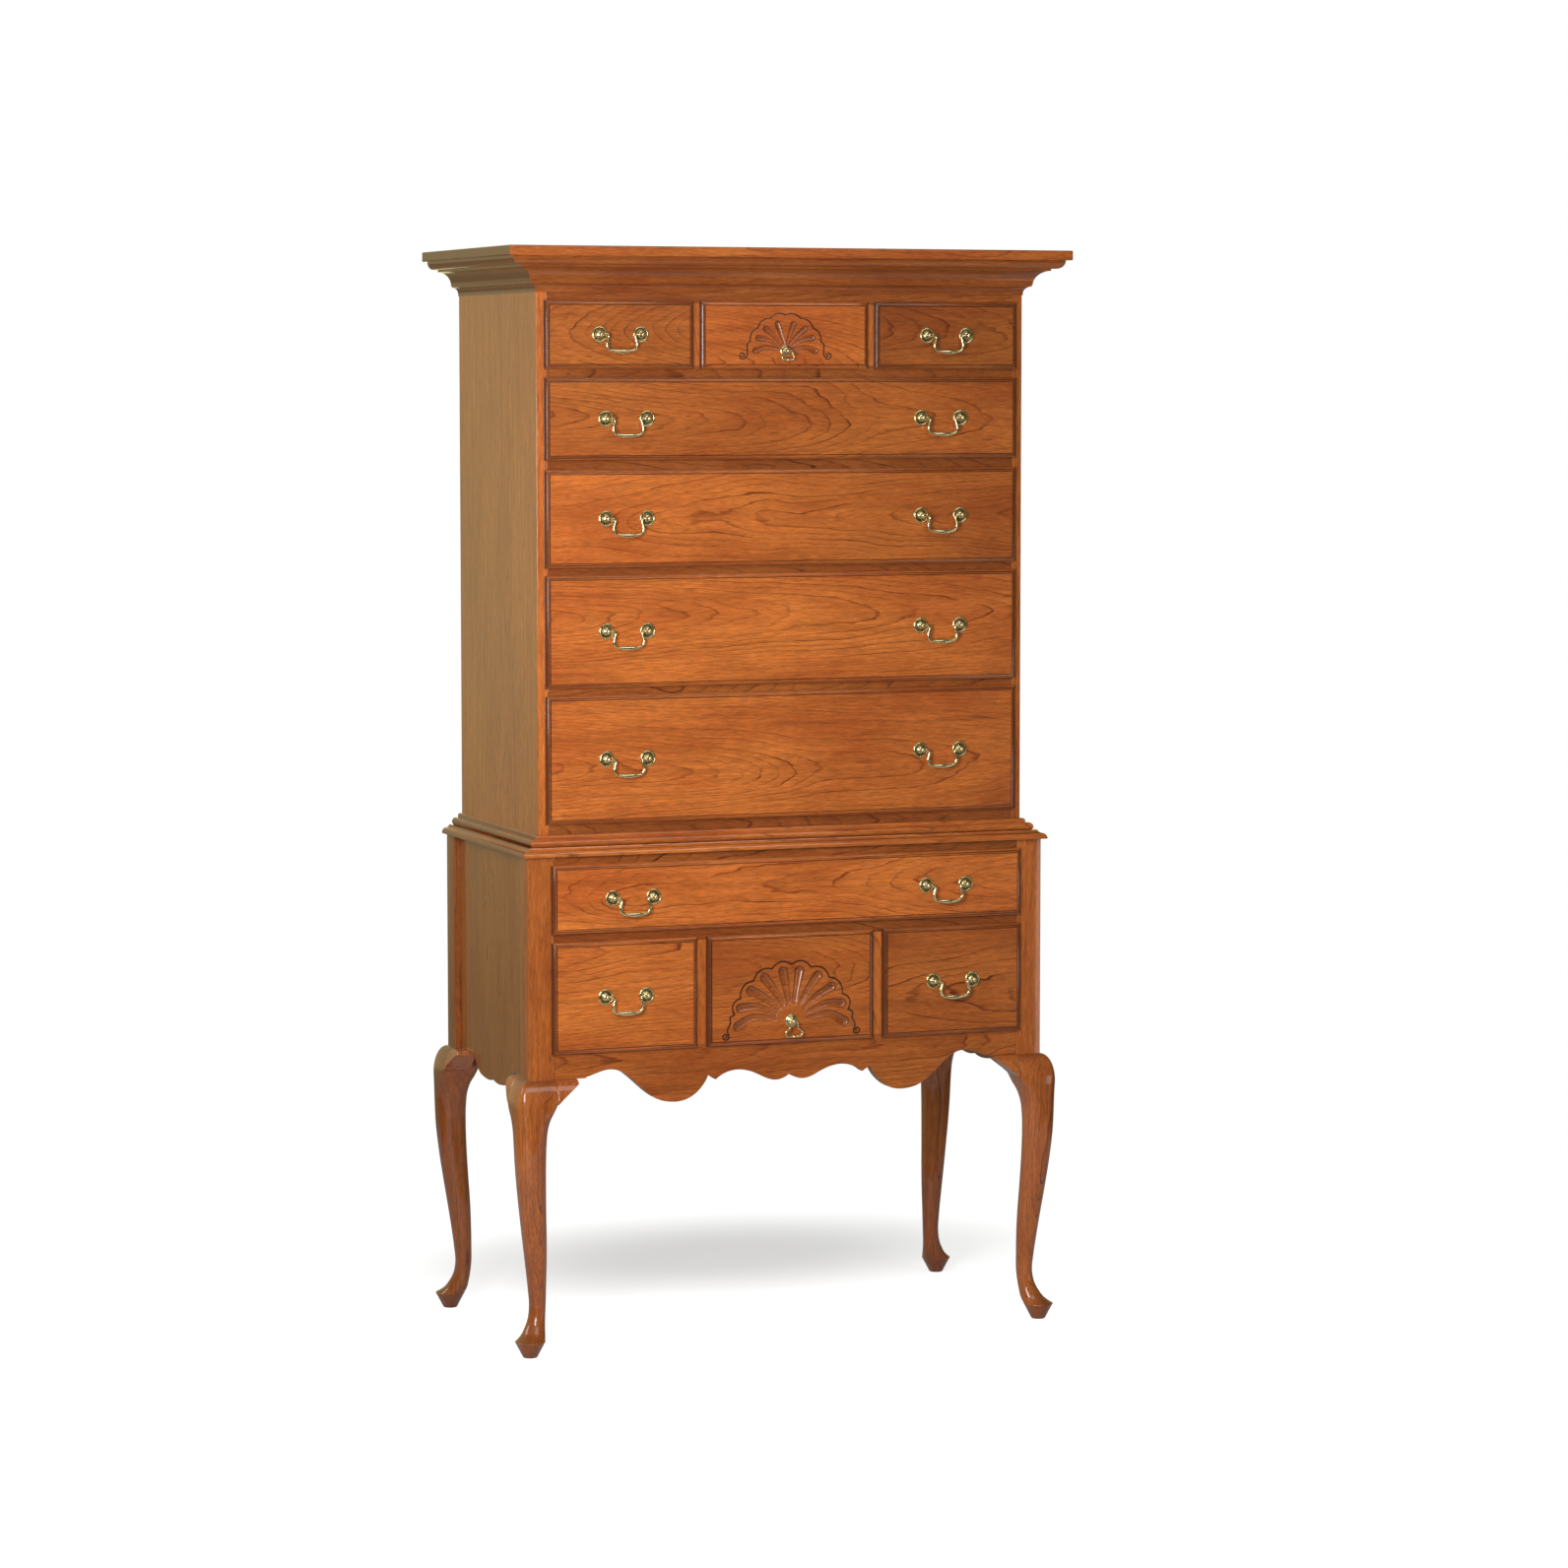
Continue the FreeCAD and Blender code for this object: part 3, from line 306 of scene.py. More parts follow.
def makePiece(name, shapes, body, slot, stands, crease=32):
    # shapes are closed meshes: points, faces of one size per array, board and growth values, maybe stain and painted
    # shade
    mesh = bpy.data.meshes.new(name)
    points = np.concatenate([shape["points"] for shape in shapes])
    loops, starts, base, used = [], [], 0, 0
    for shape in shapes:
        for faces in shape["faces"]:
            loops.append((faces + base).ravel())
            starts.append(used + np.arange(len(faces)) * faces.shape[1])
            used += faces.size
        base += len(shape["points"])
    loops, starts = np.concatenate(loops), np.concatenate(starts)
    mesh.vertices.add(len(points))
    mesh.vertices.foreach_set("co", points.astype(np.float32).ravel())
    mesh.loops.add(len(loops))
    mesh.loops.foreach_set("vertex_index", loops.astype(np.int32))
    mesh.polygons.add(len(starts))
    mesh.polygons.foreach_set("loop_start", starts.astype(np.int32))
    mesh.update(calc_edges=True)
    blank = [np.zeros((len(shape["points"]), 3)) for shape in shapes]
    for key in ("board", "growth", "fibres"):
        values = np.concatenate([shape.get(key, zero) for shape, zero in zip(shapes, blank)])
        mesh.attributes.new(key, "FLOAT_VECTOR", "POINT").data.foreach_set("vector", values.astype(np.float32).ravel())
    stain = np.concatenate([shape.get("stain", zero[:, 0]) for shape, zero in zip(shapes, blank)])
    mesh.attributes.new("stain", "FLOAT", "POINT").data.foreach_set("value", stain.astype(np.float32))
    solid = bmesh.new()
    solid.from_mesh(mesh)
    bmesh.ops.remove_doubles(solid, verts=solid.verts, dist=1e-6)
    bmesh.ops.recalc_face_normals(solid, faces=solid.faces)
    solid.to_mesh(mesh)
    solid.free()
    mesh.shade_smooth()
    mesh.set_sharp_from_angle(angle=math.radians(crease))
    piece = bpy.data.objects.new(name, mesh)
    bpy.context.scene.collection.objects.link(piece)
    mesh.materials.append(finishes[slot])
    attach(piece, body)
    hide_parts(*stands)
    return piece


def pieceName(node):
    words = node.split("_")
    return words[0] + "".join(word.capitalize() for word in words[1:])


boards = {"arris": 0.7, "flat": 1.2, "sharp": 28}


def boardsOf(node, body, slot, arris=None, grain=None):
    # the frame's own boards with their arrises eased, each with its grain along its length
    source = bmesh.new()
    source.from_mesh(frame["nodes"][node].data)
    bmesh.ops.remove_doubles(source, verts=source.verts, dist=1e-5)
    bmesh.ops.dissolve_limit(source, angle_limit=math.radians(boards["flat"]), verts=source.verts, edges=source.edges)
    width = (boards["arris"] if arris is None else arris) * mm
    corners = [edge for edge in source.edges if edge.is_manifold
               and edge.calc_face_angle() > math.radians(boards["sharp"])]
    if width:
        bmesh.ops.bevel(source, geom=corners, offset=width, segments=2, profile=0.5, affect="EDGES",
                        clamp_overlap=True, offset_type="OFFSET")
    bmesh.ops.triangulate(source, faces=[face for face in source.faces if len(face.verts) > 4])
    source.verts.ensure_lookup_table()
    source.verts.index_update()
    islands = []
    seen = set()
    for vert in source.verts:
        if vert.index in seen:
            continue
        stack, members = [vert], []
        seen.add(vert.index)
        while stack:
            current = stack.pop()
            members.append(current)
            for edge in current.link_edges:
                other = edge.other_vert(current)
                if other.index not in seen:
                    seen.add(other.index)
                    stack.append(other)
        islands.append(members)
    shapes = []
    for members in islands:
        order = {vert.index: place for place, vert in enumerate(members)}
        points = np.array([vert.co[:] for vert in members])
        faces = {face for vert in members for face in vert.link_faces}
        faces = sorted(faces, key=lambda face: face.index)
        bySize = {}
        for face in faces:
            bySize.setdefault(len(face.verts), []).append([order[vert.index] for vert in face.verts])
        span = np.ptp(points, axis=0)
        middle = points.mean(0)
        seed = int(abs(middle @ np.array([7919.0, 15485.0, 3271.0])) * 100) + len(points)
        settings = grain(middle, span) if grain else {}
        axes = settings.pop("axes", tuple(int(axis) for axis in np.argsort(-span)))
        shapes.append({"points": points, "faces": [np.array(value) for value in bySize.values()],
                       **grainValues(points, axes, seed, **settings)})
    source.free()
    # an eased edge meets its flat face at 22.5 degrees; kept sharp there, the face stays truly flat
    return makePiece(pieceName(node), shapes, body, slot, [node], crease=20)


# ---- case work

def sideGrain(middle, span):
    # the stiles beside the drawers are the upper sides' front edges: painted light on the left one, painted shade on
    # the right
    edge = 0.4 if middle[0] < 0 else -0.3
    # the lower sides' darker tone is painted shade under the waist moulding; the sides' cool cast is the painted olive
    # side light
    return {"cool": 0.35, "slope": 0.02, "tone": 0.0 if middle[2] > 1 else -0.45, "edge": (edge, 0.05)}


def railGrain(middle, span):
    # the rails, set back under the drawers' lips, are darkened as painted shade; the upright dividers keep their tone
    upright = span[2] > span[0]
    return {"tone": (0.0 if upright else -0.9) + 0.25 * chance(int(abs(middle[2]) * 1000), 1)[0], "slope": 0.08}


def corniceGrain(middle, span):
    # the front pieces are darker; the side pieces get the olive cast painted for the side light
    front = span[0] > span[1]
    return {"tone": -0.72 if front else 0.1, "cool": 0.0 if front else 0.5, "endDark": 0.5}


def waistGrain(middle, span):
    # the side pieces are darker: painted shade on the faces turned to the side
    front = span[0] > span[1]
    return {"tone": -0.06 if front else -0.65, "endDark": 0.5}


def apronGrain(middle, span):
    return {"tone": -0.3, "slope": 0.05}


def kneeGrain(middle, span):
    return {"tone": -0.2, "axes": (2, 0, 1), "endDark": 0.15}


boardsOf("upper_case_sides", "case", "cherry", grain=sideGrain)
boardsOf("lower_case_sides", "case", "cherry", grain=sideGrain)
boardsOf("upper_case_rails", "case", "cherry", grain=railGrain)
boardsOf("lower_case_rails", "case", "cherry", grain=railGrain)
boardsOf("front_apron", "case", "cherry", arris=1.2, grain=apronGrain)
boardsOf("cornice_moulding", "case", "cherry", arris=0.5, grain=corniceGrain)
boardsOf("cornice_board", "case", "cherry", arris=0)
boardsOf("waist_moulding", "case", "cherry", arris=0.5, grain=waistGrain)
boardsOf("knee_blocks", "case", "cherry", arris=1.0, grain=kneeGrain)
boardsOf("inner_boards", "case", "secondary_wood")
print("case boards")


# ---- legs

leg = {
    # height, reach out from the post's corner line, reach in, corner radii outer, side and inner
    "stations": [
        (0.0, 12.0, 14.0, 13.0, 13.0, 13.0), (0.8, 12.9, 14.9, 13.9, 13.9, 13.9),
        (28.9, 27.8, 29.8, 28.8, 28.8, 28.8), (29.8, 28.4, 30.4, 29.4, 29.4, 29.4),
        (30.6, 28.0, 30.2, 29.1, 29.1, 29.1),
        (34.5, 22.0, 31.5, 26.7, 26.7, 26.7), (41.0, 14.2, 33.2, 23.7, 23.7, 23.7),
        (55.0, 4.4, 35.0, 19.7, 19.7, 19.7), (70.0, -2.4, 36.6, 17.1, 17.1, 17.1),
        (90.0, -6.0, 38.4, 16.2, 16.2, 16.2), (130.0, -3.6, 39.2, 17.8, 17.8, 17.8),
        (165.0, 0.6, 39.4, 19.4, 19.6, 19.8), (210.0, 6.6, 38.8, 21.6, 22.0, 22.4),
        (268.0, 14.6, 36.4, 24.0, 24.6, 25.2), (329.0, 22.0, 34.4, 26.2, 27.0, 28.0),
        (372.0, 25.8, 33.8, 27.0, 28.4, 29.4), (409.0, 27.2, 34.4, 26.5, 28.0, 30.0),
        (441.0, 27.6, 36.8, 25.0, 24.0, 26.0), (462.0, 27.6, 41.5, 22.5, 16.0, 18.0),
        (470.0, 27.6, 44.5, 21.0, 11.0, 13.0)],
    "kneeTop": 531.0, "kneeHigh": 61.0, "kneeOut": 27.6, "postSize": 52.0, "arris": 1.6, "perCorner": 9,
}


def smoothValues(stations, heights):
    # cubic between stations; each station's slope is that of the line through its two neighbours
    table = np.array(stations)
    known, values = table[:, 0], table[:, 1:]
    slopes = np.gradient(values, known, axis=0)
    place = np.clip(np.searchsorted(known, heights, side="right") - 1, 0, len(known) - 2)
    gap = (known[place + 1] - known[place])[:, None]
    part = (heights[:, None] - known[place][:, None]) / gap
    a, b = values[place], values[place + 1]
    return (a * (1 + 2 * part) * (1 - part) ** 2 + b * part ** 2 * (3 - 2 * part)
            + slopes[place] * gap * part * (1 - part) ** 2 + slopes[place + 1] * gap * part ** 2 * (part - 1))


def legShape(look):
    # rings of four rounded corners: the corner that faces out, the two beside it and the inner one
    foot = np.array(look["stations"])[:5]
    shaftHeights = np.concatenate([np.linspace(31.5, 60, 20), np.linspace(63, 465, 68)])
    shaft = np.column_stack([shaftHeights, smoothValues(look["stations"][4:], shaftHeights)])
    rise = np.sin(np.linspace(0, math.pi / 2, 22))
    kneeHeights = look["kneeTop"] - look["kneeHigh"] * (1 - rise)
    out = look["kneeOut"] * np.sqrt(1 - rise ** 2)
    inn = np.minimum(look["postSize"] - 0.4, 44.5 + 22 * rise)
    fade = 1 - rise
    knee = np.column_stack([kneeHeights, out, inn, look["arris"] + 19.4 * fade ** 0.75,
                            1.0 + 10 * np.clip(1 - rise * 3.2, 0, 1), 4 + 9 * fade])
    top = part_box("cabriole_legs")[1][2] / mm
    size, edge = look["postSize"], look["arris"]
    post = np.array([(z, 0.0, size, edge, edge, edge) for z in (look["kneeTop"] + 0.2, 600.0, 750.0, 900.0, top)])
    sections = np.concatenate([foot, shaft, knee, post])
    steps = (np.arange(look["perCorner"]) + 0.5) / look["perCorner"] * math.pi / 2
    rings = []
    heights, out, inn = sections[:, 0], sections[:, 1], sections[:, 2]
    for turn, radius, farX, farY in ((2, sections[:, 3], -out, -out), (3, sections[:, 4], inn, -out),
                                     (0, sections[:, 5], inn, inn), (1, sections[:, 4], -out, inn)):
        angle = turn * math.pi / 2 + steps
        middleX = farX - np.sign(math.cos(angle.mean())) * radius
        middleY = farY - np.sign(math.sin(angle.mean())) * radius
        rings.append(np.stack([middleX[:, None] + radius[:, None] * np.cos(angle),
                               middleY[:, None] + radius[:, None] * np.sin(angle),
                               np.repeat(heights[:, None], len(steps), 1)], -1))
    rings = np.concatenate(rings, 1)
    return rings.reshape(-1, 3) * mm, ringFaces(len(sections), rings.shape[1])


def makeLegs(look):
    points, faces = legShape(look)
    low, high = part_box("lower_case_rails"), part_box("upper_case_sides")
    half = high[1][0] + (look["postSize"] - 20) * mm
    front, back = low[0][1], high[1][1]
    shapes = []
    for number, (sideways, forward) in enumerate(((-1, 1), (1, 1), (-1, -1), (1, -1))):
        corner = np.array([sideways * half, front if forward == 1 else back, 0.0])
        placed = corner + points * np.array([-sideways, forward, 1])
        # the back legs' darker tones are painted shade from the case above them
        grain = grainValues(placed, (2, 0, 1), 40 + number, pith=(0.035, 0.05), slope=0.012,
                            tone=(-0.3, 0.0, -0.75, -0.5)[number], cool=0.05, endDark=0.4)
        shapes.append({"points": placed, "faces": faces, **grain})
    return makePiece("cabrioleLegs", shapes, "case", "cherry", ["cabriole_legs"], crease=50)


makeLegs(leg)
print("legs")


# ---- drawer fronts

front = {
    "lipBack": 10.2, "border": 10.0, "plugSide": 7.5, "plugLow": 6.3, "plugHigh": 8.0,
    # edge of the front as (inset, forward of the lip's back); the quarter round is added between them
    "roundFrom": (0.0, 1.4), "round": 7.3, "quirk": [(8.5, 8.75), (9.0, 8.65), (9.25, 9.75), (9.6, 10.2)],
    "fineness": 1.0,
}
figures = {
    # tree's axis aside from the board's middle and behind its face, slope along the board, tone, lean
    "upper_left_drawer": (0.010, 0.050, -0.16, -0.39, 0), "upper_shell_drawer": (-0.055, 0.03, 0.12, 0.2, 0),
    "upper_right_drawer": (0.02, 0.06, 0.10, -0.65, 0), "second_drawer": (0.005, 0.045, 0.085, -0.28, -0.05),
    "third_drawer": (-0.005, 0.05, -0.07, 0.04, -0.42), "fourth_drawer": (0.03, 0.04, 0.06, 0.2, -0.1),
    "fifth_drawer": (-0.02, 0.055, 0.075, 0.14, -0.1), "lower_long_drawer": (0.01, 0.05, -0.06, 0.42, -0.05),
    "lower_left_drawer": (0.09, 0.06, 0.05, 0.27, 0), "lower_shell_drawer": (0.04, 0.05, 0.1, -0.06, 0),
    "lower_right_drawer": (-0.02, 0.06, -0.08, -0.25, 0),
}
upperShell = {
    "ends": [(16.0, 51.0), (40.0, 42.0), (55.5, 24.5), (62.0, 0.0)], "arch": [0.0, 1.5, 3.5, 5.0],
    "hub": 13.0, "startAngles": [80, 58, 36, 13], "widthIn": 2.6, "widthOut": 6.2, "deepIn": 1.4, "deepOut": 4.6,
    "clefts": [(0.0, 68.0), (31.0, 61.5), (57.0, 43.0), (72.0, 18.0)], "bulge": 6.0,
    "tail": [(78.5, 5.0), (79.5, -9.0), (84.0, -15.0)], "scroll": (88.0, -9.0), "scrollRadius": 6.5,
    "dots": 0, "dotRadius": 0.0, "pitch": 0.55, "line": 1.0,
}
lowerShell = {
    "ends": [(17.0, 96.5), (55.0, 85.5), (83.5, 62.0), (104.5, 29.0), (110.5, -6.5)],
    "arch": [0.0, 1.5, 3.0, 7.0, 10.5],
    "hub": 37.0, "startAngles": [80.6, 61.7, 42.8, 24.5, 7.5], "widthIn": 4.4, "widthOut": 10.0,
    "deepIn": 2.2, "deepOut": 7.0,
    "clefts": [(0.0, 109.0), (40.3, 102.4), (78.0, 81.0), (105.0, 48.0), (117.5, 16.7)], "bulge": 10.0,
    "tail": [(125.5, 1.0), (132.0, -14.0), (128.5, -26.5)], "scroll": (136.0, -24.5), "scrollRadius": 7.5,
    "dots": 13, "dotRadius": 33.5, "pitch": 0.82, "line": 1.25,
}
shells = {"upper_shell_drawer": upperShell, "lower_shell_drawer": lowerShell}


def curveThrough(points, count):
    # cubic through every point, evenly spread along the chords
    table = np.array(points, float)
    along = np.concatenate([[0], np.cumsum(np.linalg.norm(np.diff(table, axis=0), axis=1))])
    return smoothValues(np.column_stack([along, table]), np.linspace(0, along[-1], count))


def distanceTo(places, line):
    # distance of each place to the line, and how far along the line its nearest point lies, from 0 to 1
    best = np.full(len(places), 1e9)
    share = np.zeros(len(places))
    for number in range(len(line) - 1):
        start, step = line[number], line[number + 1] - line[number]
        part = np.clip(((places - start) @ step) / (step @ step), 0, 1)
        away = np.hypot(*(places - start - part[:, None] * step).T)
        nearer = away < best
        best[nearer] = away[nearer]
        share[nearer] = (number + part[nearer]) / (len(line) - 1)
    return best, share


def shellLines(look):
    # centre lines of the flutes on one side, and the incised line outside them with its scroll
    flutes = []
    for end, arch, degrees in zip(look["ends"], look["arch"], look["startAngles"]):
        end = np.array(end)
        begin = look["hub"] * np.array([math.cos(math.radians(degrees)), math.sin(math.radians(degrees))])
        chord = end - begin
        up = np.array([-chord[1], chord[0]]) / np.hypot(*chord)
        middle = begin + 0.62 * chord + up * arch
        flutes.append(curveThrough([begin, middle, end], 14))
    lobes = []
    stops = [np.array(cleft) for cleft in look["clefts"]] + [np.array(look["tail"][0])]
    for start, stop in zip(stops[:-2], stops[1:-1]):
        chord = stop - start
        out = np.array([-chord[1], chord[0]]) / np.hypot(*chord)
        part = np.linspace(0, 1, 17)[:-1, None]
        lobes.append(start + chord * part + out * look["bulge"] * np.sin(math.pi * part) ** 0.8)
    last, tail = stops[-2], stops[-1]
    chord = tail - last
    out = np.array([-chord[1], chord[0]]) / np.hypot(*chord)
    part = np.linspace(0, 1, 9)[:-1, None]
    lobes.append(last + chord * part + out * look["bulge"] * 0.55 * np.sin(math.pi * part))
    centre, radius = np.array(look["scroll"]), look["scrollRadius"]
    first = np.array(look["tail"][-1]) - centre
    angle = math.atan2(first[1], first[0]) + np.linspace(0, 1, 26) * math.radians(430)
    reach = np.hypot(*first) * (1 - 0.8 * np.linspace(0, 1, 26))
    spiral = centre + np.stack([np.cos(angle), np.sin(angle)], -1) * reach[:, None]
    lobes.append(curveThrough(look["tail"], 14))
    return flutes, np.concatenate(lobes + [spiral])


def shellRelief(x, z, look):
    # depth of the carving and its painted shade at each place, both halves mirrored from the right one
    places = np.stack([np.abs(x), z], -1)
    flutes, line = shellLines(look)
    depth = np.zeros(len(places))
    rim = np.zeros(len(places))
    for flute in flutes:
        away, share = distanceTo(places, flute)
        half = look["widthIn"] + (look["widthOut"] - look["widthIn"]) * share ** 0.9
        deep = look["deepIn"] + (look["deepOut"] - look["deepIn"]) * share
        depth = np.maximum(depth, deep * np.clip(1 - (away / half) ** 2, 0, 1) ** 0.6)
        rim = np.maximum(rim, np.exp(-((away - half + 1.0) / 1.1) ** 2))
    away, share = distanceTo(places, line)
    groove = np.clip(1 - (away / look["line"]) ** 2, 0, 1)
    hollow = np.clip(depth / look["deepOut"], 0, 1) ** 1.5
    # painted shade: dark along the incised line, deep in the flutes and in a thin line inside each flute's rim
    stain = np.clip(1.7 - away / look["line"], 0, 1) + 0.5 * hollow + 0.3 * rim
    depth = np.maximum(depth, 0.35 * groove)
    if look["dots"]:
        angles = np.radians(np.linspace(4, 176, look["dots"]))
        for angle in angles:
            spot = look["dotRadius"] * np.array([math.cos(angle), math.sin(angle)])
            near = np.hypot(x - spot[0], z - spot[1])
            depth = np.maximum(depth, 1.9 * np.clip(1 - (near / 2.2) ** 2, 0, 1))
    return depth, np.clip(stain, 0, 1)


def frameRing(xs, zs, y):
    # the border of a rectangle of grid points, counter-clockwise as seen from the front
    bottom = [(x, zs[0]) for x in xs]
    right = [(xs[-1], z) for z in zs[1:]]
    top = [(x, zs[-1]) for x in xs[-2::-1]]
    left = [(xs[0], z) for z in zs[-2:0:-1]]
    flat = np.array(bottom + right + top + left)
    return np.column_stack([flat[:, 0], np.full(len(flat), y), flat[:, 1]])


def gridLines(low, high, denseLow, denseHigh, pitch):
    # even lines through the carved stretch and a few outside it
    dense = np.linspace(denseLow, denseHigh, max(2, int(round((denseHigh - denseLow) / pitch)) + 1))
    return np.concatenate([np.linspace(low, denseLow, 5)[:-1], dense, np.linspace(denseHigh, high, 5)[1:]])


def makeFront(drawer, look):
    low, high = (np.array(corner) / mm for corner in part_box(drawer + "_front"))
    lipBack = low[1] + look["lipBack"]
    carving = shells.get(drawer)
    border = look["border"]
    xs, zs = np.array([low[0] + border, high[0] - border]), np.array([low[2] + border, high[2] - border])
    if carving:
        knob = np.array(joints[drawer + "_ring"]["pos_m"]) / mm
        reach = carving["scroll"][0] + 12
        floor = min(carving["scroll"][1] - 12, -20)
        crown = carving["clefts"][0][1] + carving["bulge"] + 4
        xs = gridLines(xs[0], xs[1], knob[0] - reach, knob[0] + reach, carving["pitch"])
        zs = gridLines(zs[0], zs[1], max(zs[0] + 1, knob[2] + floor), min(zs[1] - 1, knob[2] + crown), carving["pitch"])
    turn = np.linspace(0, math.pi / 2, 9)
    inset, forward = look["roundFrom"]
    profile = [(0.0, 0.0), (inset, forward)]
    profile += [(look["round"] * (1 - math.cos(a)), forward + look["round"] * math.sin(a)) for a in turn[1:]]
    profile += look["quirk"]
    rings = []
    sideX, sideLow, sideHigh = look["plugSide"], look["plugLow"], look["plugHigh"]
    for y in (high[1], lipBack):
        innerX, innerZ = xs.copy(), zs.copy()
        innerX[[0, -1]] = low[0] + sideX, high[0] - sideX
        innerZ[[0, -1]] = low[2] + sideLow, high[2] - sideHigh
        rings.append(frameRing(innerX, innerZ, y))
    for inward, outward in profile + [(border, look["lipBack"])]:
        ringX, ringZ = xs.copy(), zs.copy()
        ringX[[0, -1]] = low[0] + inward, high[0] - inward
        ringZ[[0, -1]] = low[2] + inward, high[2] - inward
        rings.append(frameRing(ringX, ringZ, lipBack - outward))
    ringCount, around = len(rings), len(rings[0])
    edgePoints = np.concatenate(rings)
    # the moulded edge is coloured a little darker than the face; the darker rings in the quirk and round the lip's back
    # are painted shade
    stain = np.full(len(edgePoints), 0.16)
    for number, dark in ((-1, 0.0), (1, 0.9), (2, 0.9), (3, 0.45), (-5, 0.8), (-4, 0.95), (-3, 0.5)):
        number %= ringCount
        stain[number * around:(number + 1) * around] = dark
    field = np.stack(np.meshgrid(xs, zs), -1).reshape(-1, 2)
    sunk = np.zeros(len(field))
    fieldShade = np.zeros(len(field))
    if carving:
        sunk, fieldShade = shellRelief(field[:, 0] - knob[0], field[:, 1] - knob[2], carving)
    fieldPoints = np.column_stack([field[:, 0], low[1] + sunk, field[:, 1]])
    points = np.concatenate([edgePoints, fieldPoints]) * mm
    faces = [gridFaces(ringCount, around, True), np.arange(around)[None, ::-1],
             gridFaces(len(zs), len(xs)) + len(edgePoints)]
    aside, under, slope, tone, lean = figures[drawer]
    seed = 500 + 7 * list(figures).index(drawer)
    grain = grainValues(points, (0, 2, 1), seed, pith=(aside, under), slope=slope, tone=tone, lean=lean)
    # the moulded ends go dark right up to the face, while the carver's cuts stay lighter
    grain["fibres"][:len(edgePoints)] *= 4
    grain["fibres"][len(edgePoints):] *= 0.35
    shape = {"points": points, "faces": faces, "stain": np.concatenate([stain, fieldShade]), **grain}
    return makePiece(pieceName(drawer + "_front"), [shape], drawer, "cherry", [drawer + "_front"], crease=34)


for drawer in drawers:
    makeFront(drawer, front)
    boardsOf(drawer + "_box", drawer, "secondary_wood", arris=0.5)
print("drawers", len(drawers))


# ---- brass

rosette = {
    # a bright rolled rim round a dark dished well, and a boss in the middle
    "plate": [(15.5, 0.0), (15.5, 0.9), (15.2, 1.9), (14.5, 2.7), (13.6, 3.05), (12.7, 2.9), (12.0, 2.3), (11.6, 1.5),
              (11.0, 1.1), (9.4, 0.9), (8.0, 1.1), (7.1, 1.8), (6.2, 2.8), (5.2, 3.4), (4.2, 3.5), (3.4, 3.5)],
    "dark": (7.0, 11.8),
}

def knobPlate(radius):
    # rim, a narrow channel inside it, and a dome up to the stem
    rim = [(0.0, 0.0), (0.0, 0.9), (0.4, 1.9), (1.2, 2.7), (2.1, 3.0), (2.8, 2.7), (3.3, 2.7)]
    dome = [(7.6, 3.6), (6.7, 4.8), (5.4, 5.6), (4.4, 5.8), (3.4, 5.8)]
    return {"plate": [(radius - inward, out) for inward, out in rim] + dome, "dark": (radius - 3.6, radius - 2.6)}


knobPlates = {"upper_shell_drawer": knobPlate(11.5), "lower_shell_drawer": knobPlate(13.0)}
post = {"stem": 3.2, "ball": 5.2, "reach": 12.0, "collar": 4.3, "bolt": 2.0, "inside": 6.0, "around": 40}
ringPost = dict(post, ball=4.6, reach=14.0, collar=4.0)


def turnedShape(profile, centre, around, dark=None):
    # a profile of (radius, forward) revolved about the line that runs to the front through the centre
    table = np.array(profile)
    angle = np.arange(around) / around * 2 * math.pi
    x = centre[0] + table[:, :1] * np.cos(angle) * mm
    z = centre[2] + table[:, :1] * np.sin(angle) * mm
    y = centre[1] - np.repeat(table[:, 1:], around, 1) * mm
    points = np.stack([x, y, z], -1).reshape(-1, 3)
    stain = np.zeros(len(points))
    if dark:
        radii = np.repeat(table[:, 0], around)
        stain = 0.75 * ((radii > dark[0]) & (radii < dark[1]))
    return {"points": points, "faces": ringFaces(len(table), around), "stain": stain}


def postProfile(look, plateHigh, inside):
    # bolt, collar on the plate, waisted neck and ball with a small button at its front
    neck = [(look["bolt"], -inside), (look["bolt"], -0.2), (look["stem"], 0.0), (look["stem"], plateHigh - 0.2),
            (look["collar"], plateHigh + 0.1), (look["collar"] + 0.3, plateHigh + 0.8),
            (look["collar"], plateHigh + 1.5), (look["stem"] - 0.2, plateHigh + 2.1)]
    start = -math.acos((look["stem"] - 0.4) / look["ball"])
    turn = np.linspace(start, math.radians(77), 15)
    ball = [(look["ball"] * math.cos(a), look["reach"] + look["ball"] * math.sin(a)) for a in turn]
    button = [(1.0, look["reach"] + look["ball"] - 0.12), (0.6, look["reach"] + look["ball"] - 0.07)]
    return neck + ball + button


def nutShape(centre, look):
    # six-sided nut with its corners chamfered
    radii = [3.9, 4.6, 4.6, 3.9]
    heights = [0.0, 0.5, 3.5, 4.0]
    angle = np.arange(6) / 6 * 2 * math.pi
    rings = [np.column_stack([centre[0] + r * np.cos(angle) * mm, np.full(6, centre[1] + h * mm),
                              centre[2] + r * np.sin(angle) * mm]) for r, h in zip(radii, heights)]
    return {"points": np.concatenate(rings), "faces": ringFaces(4, 6)}


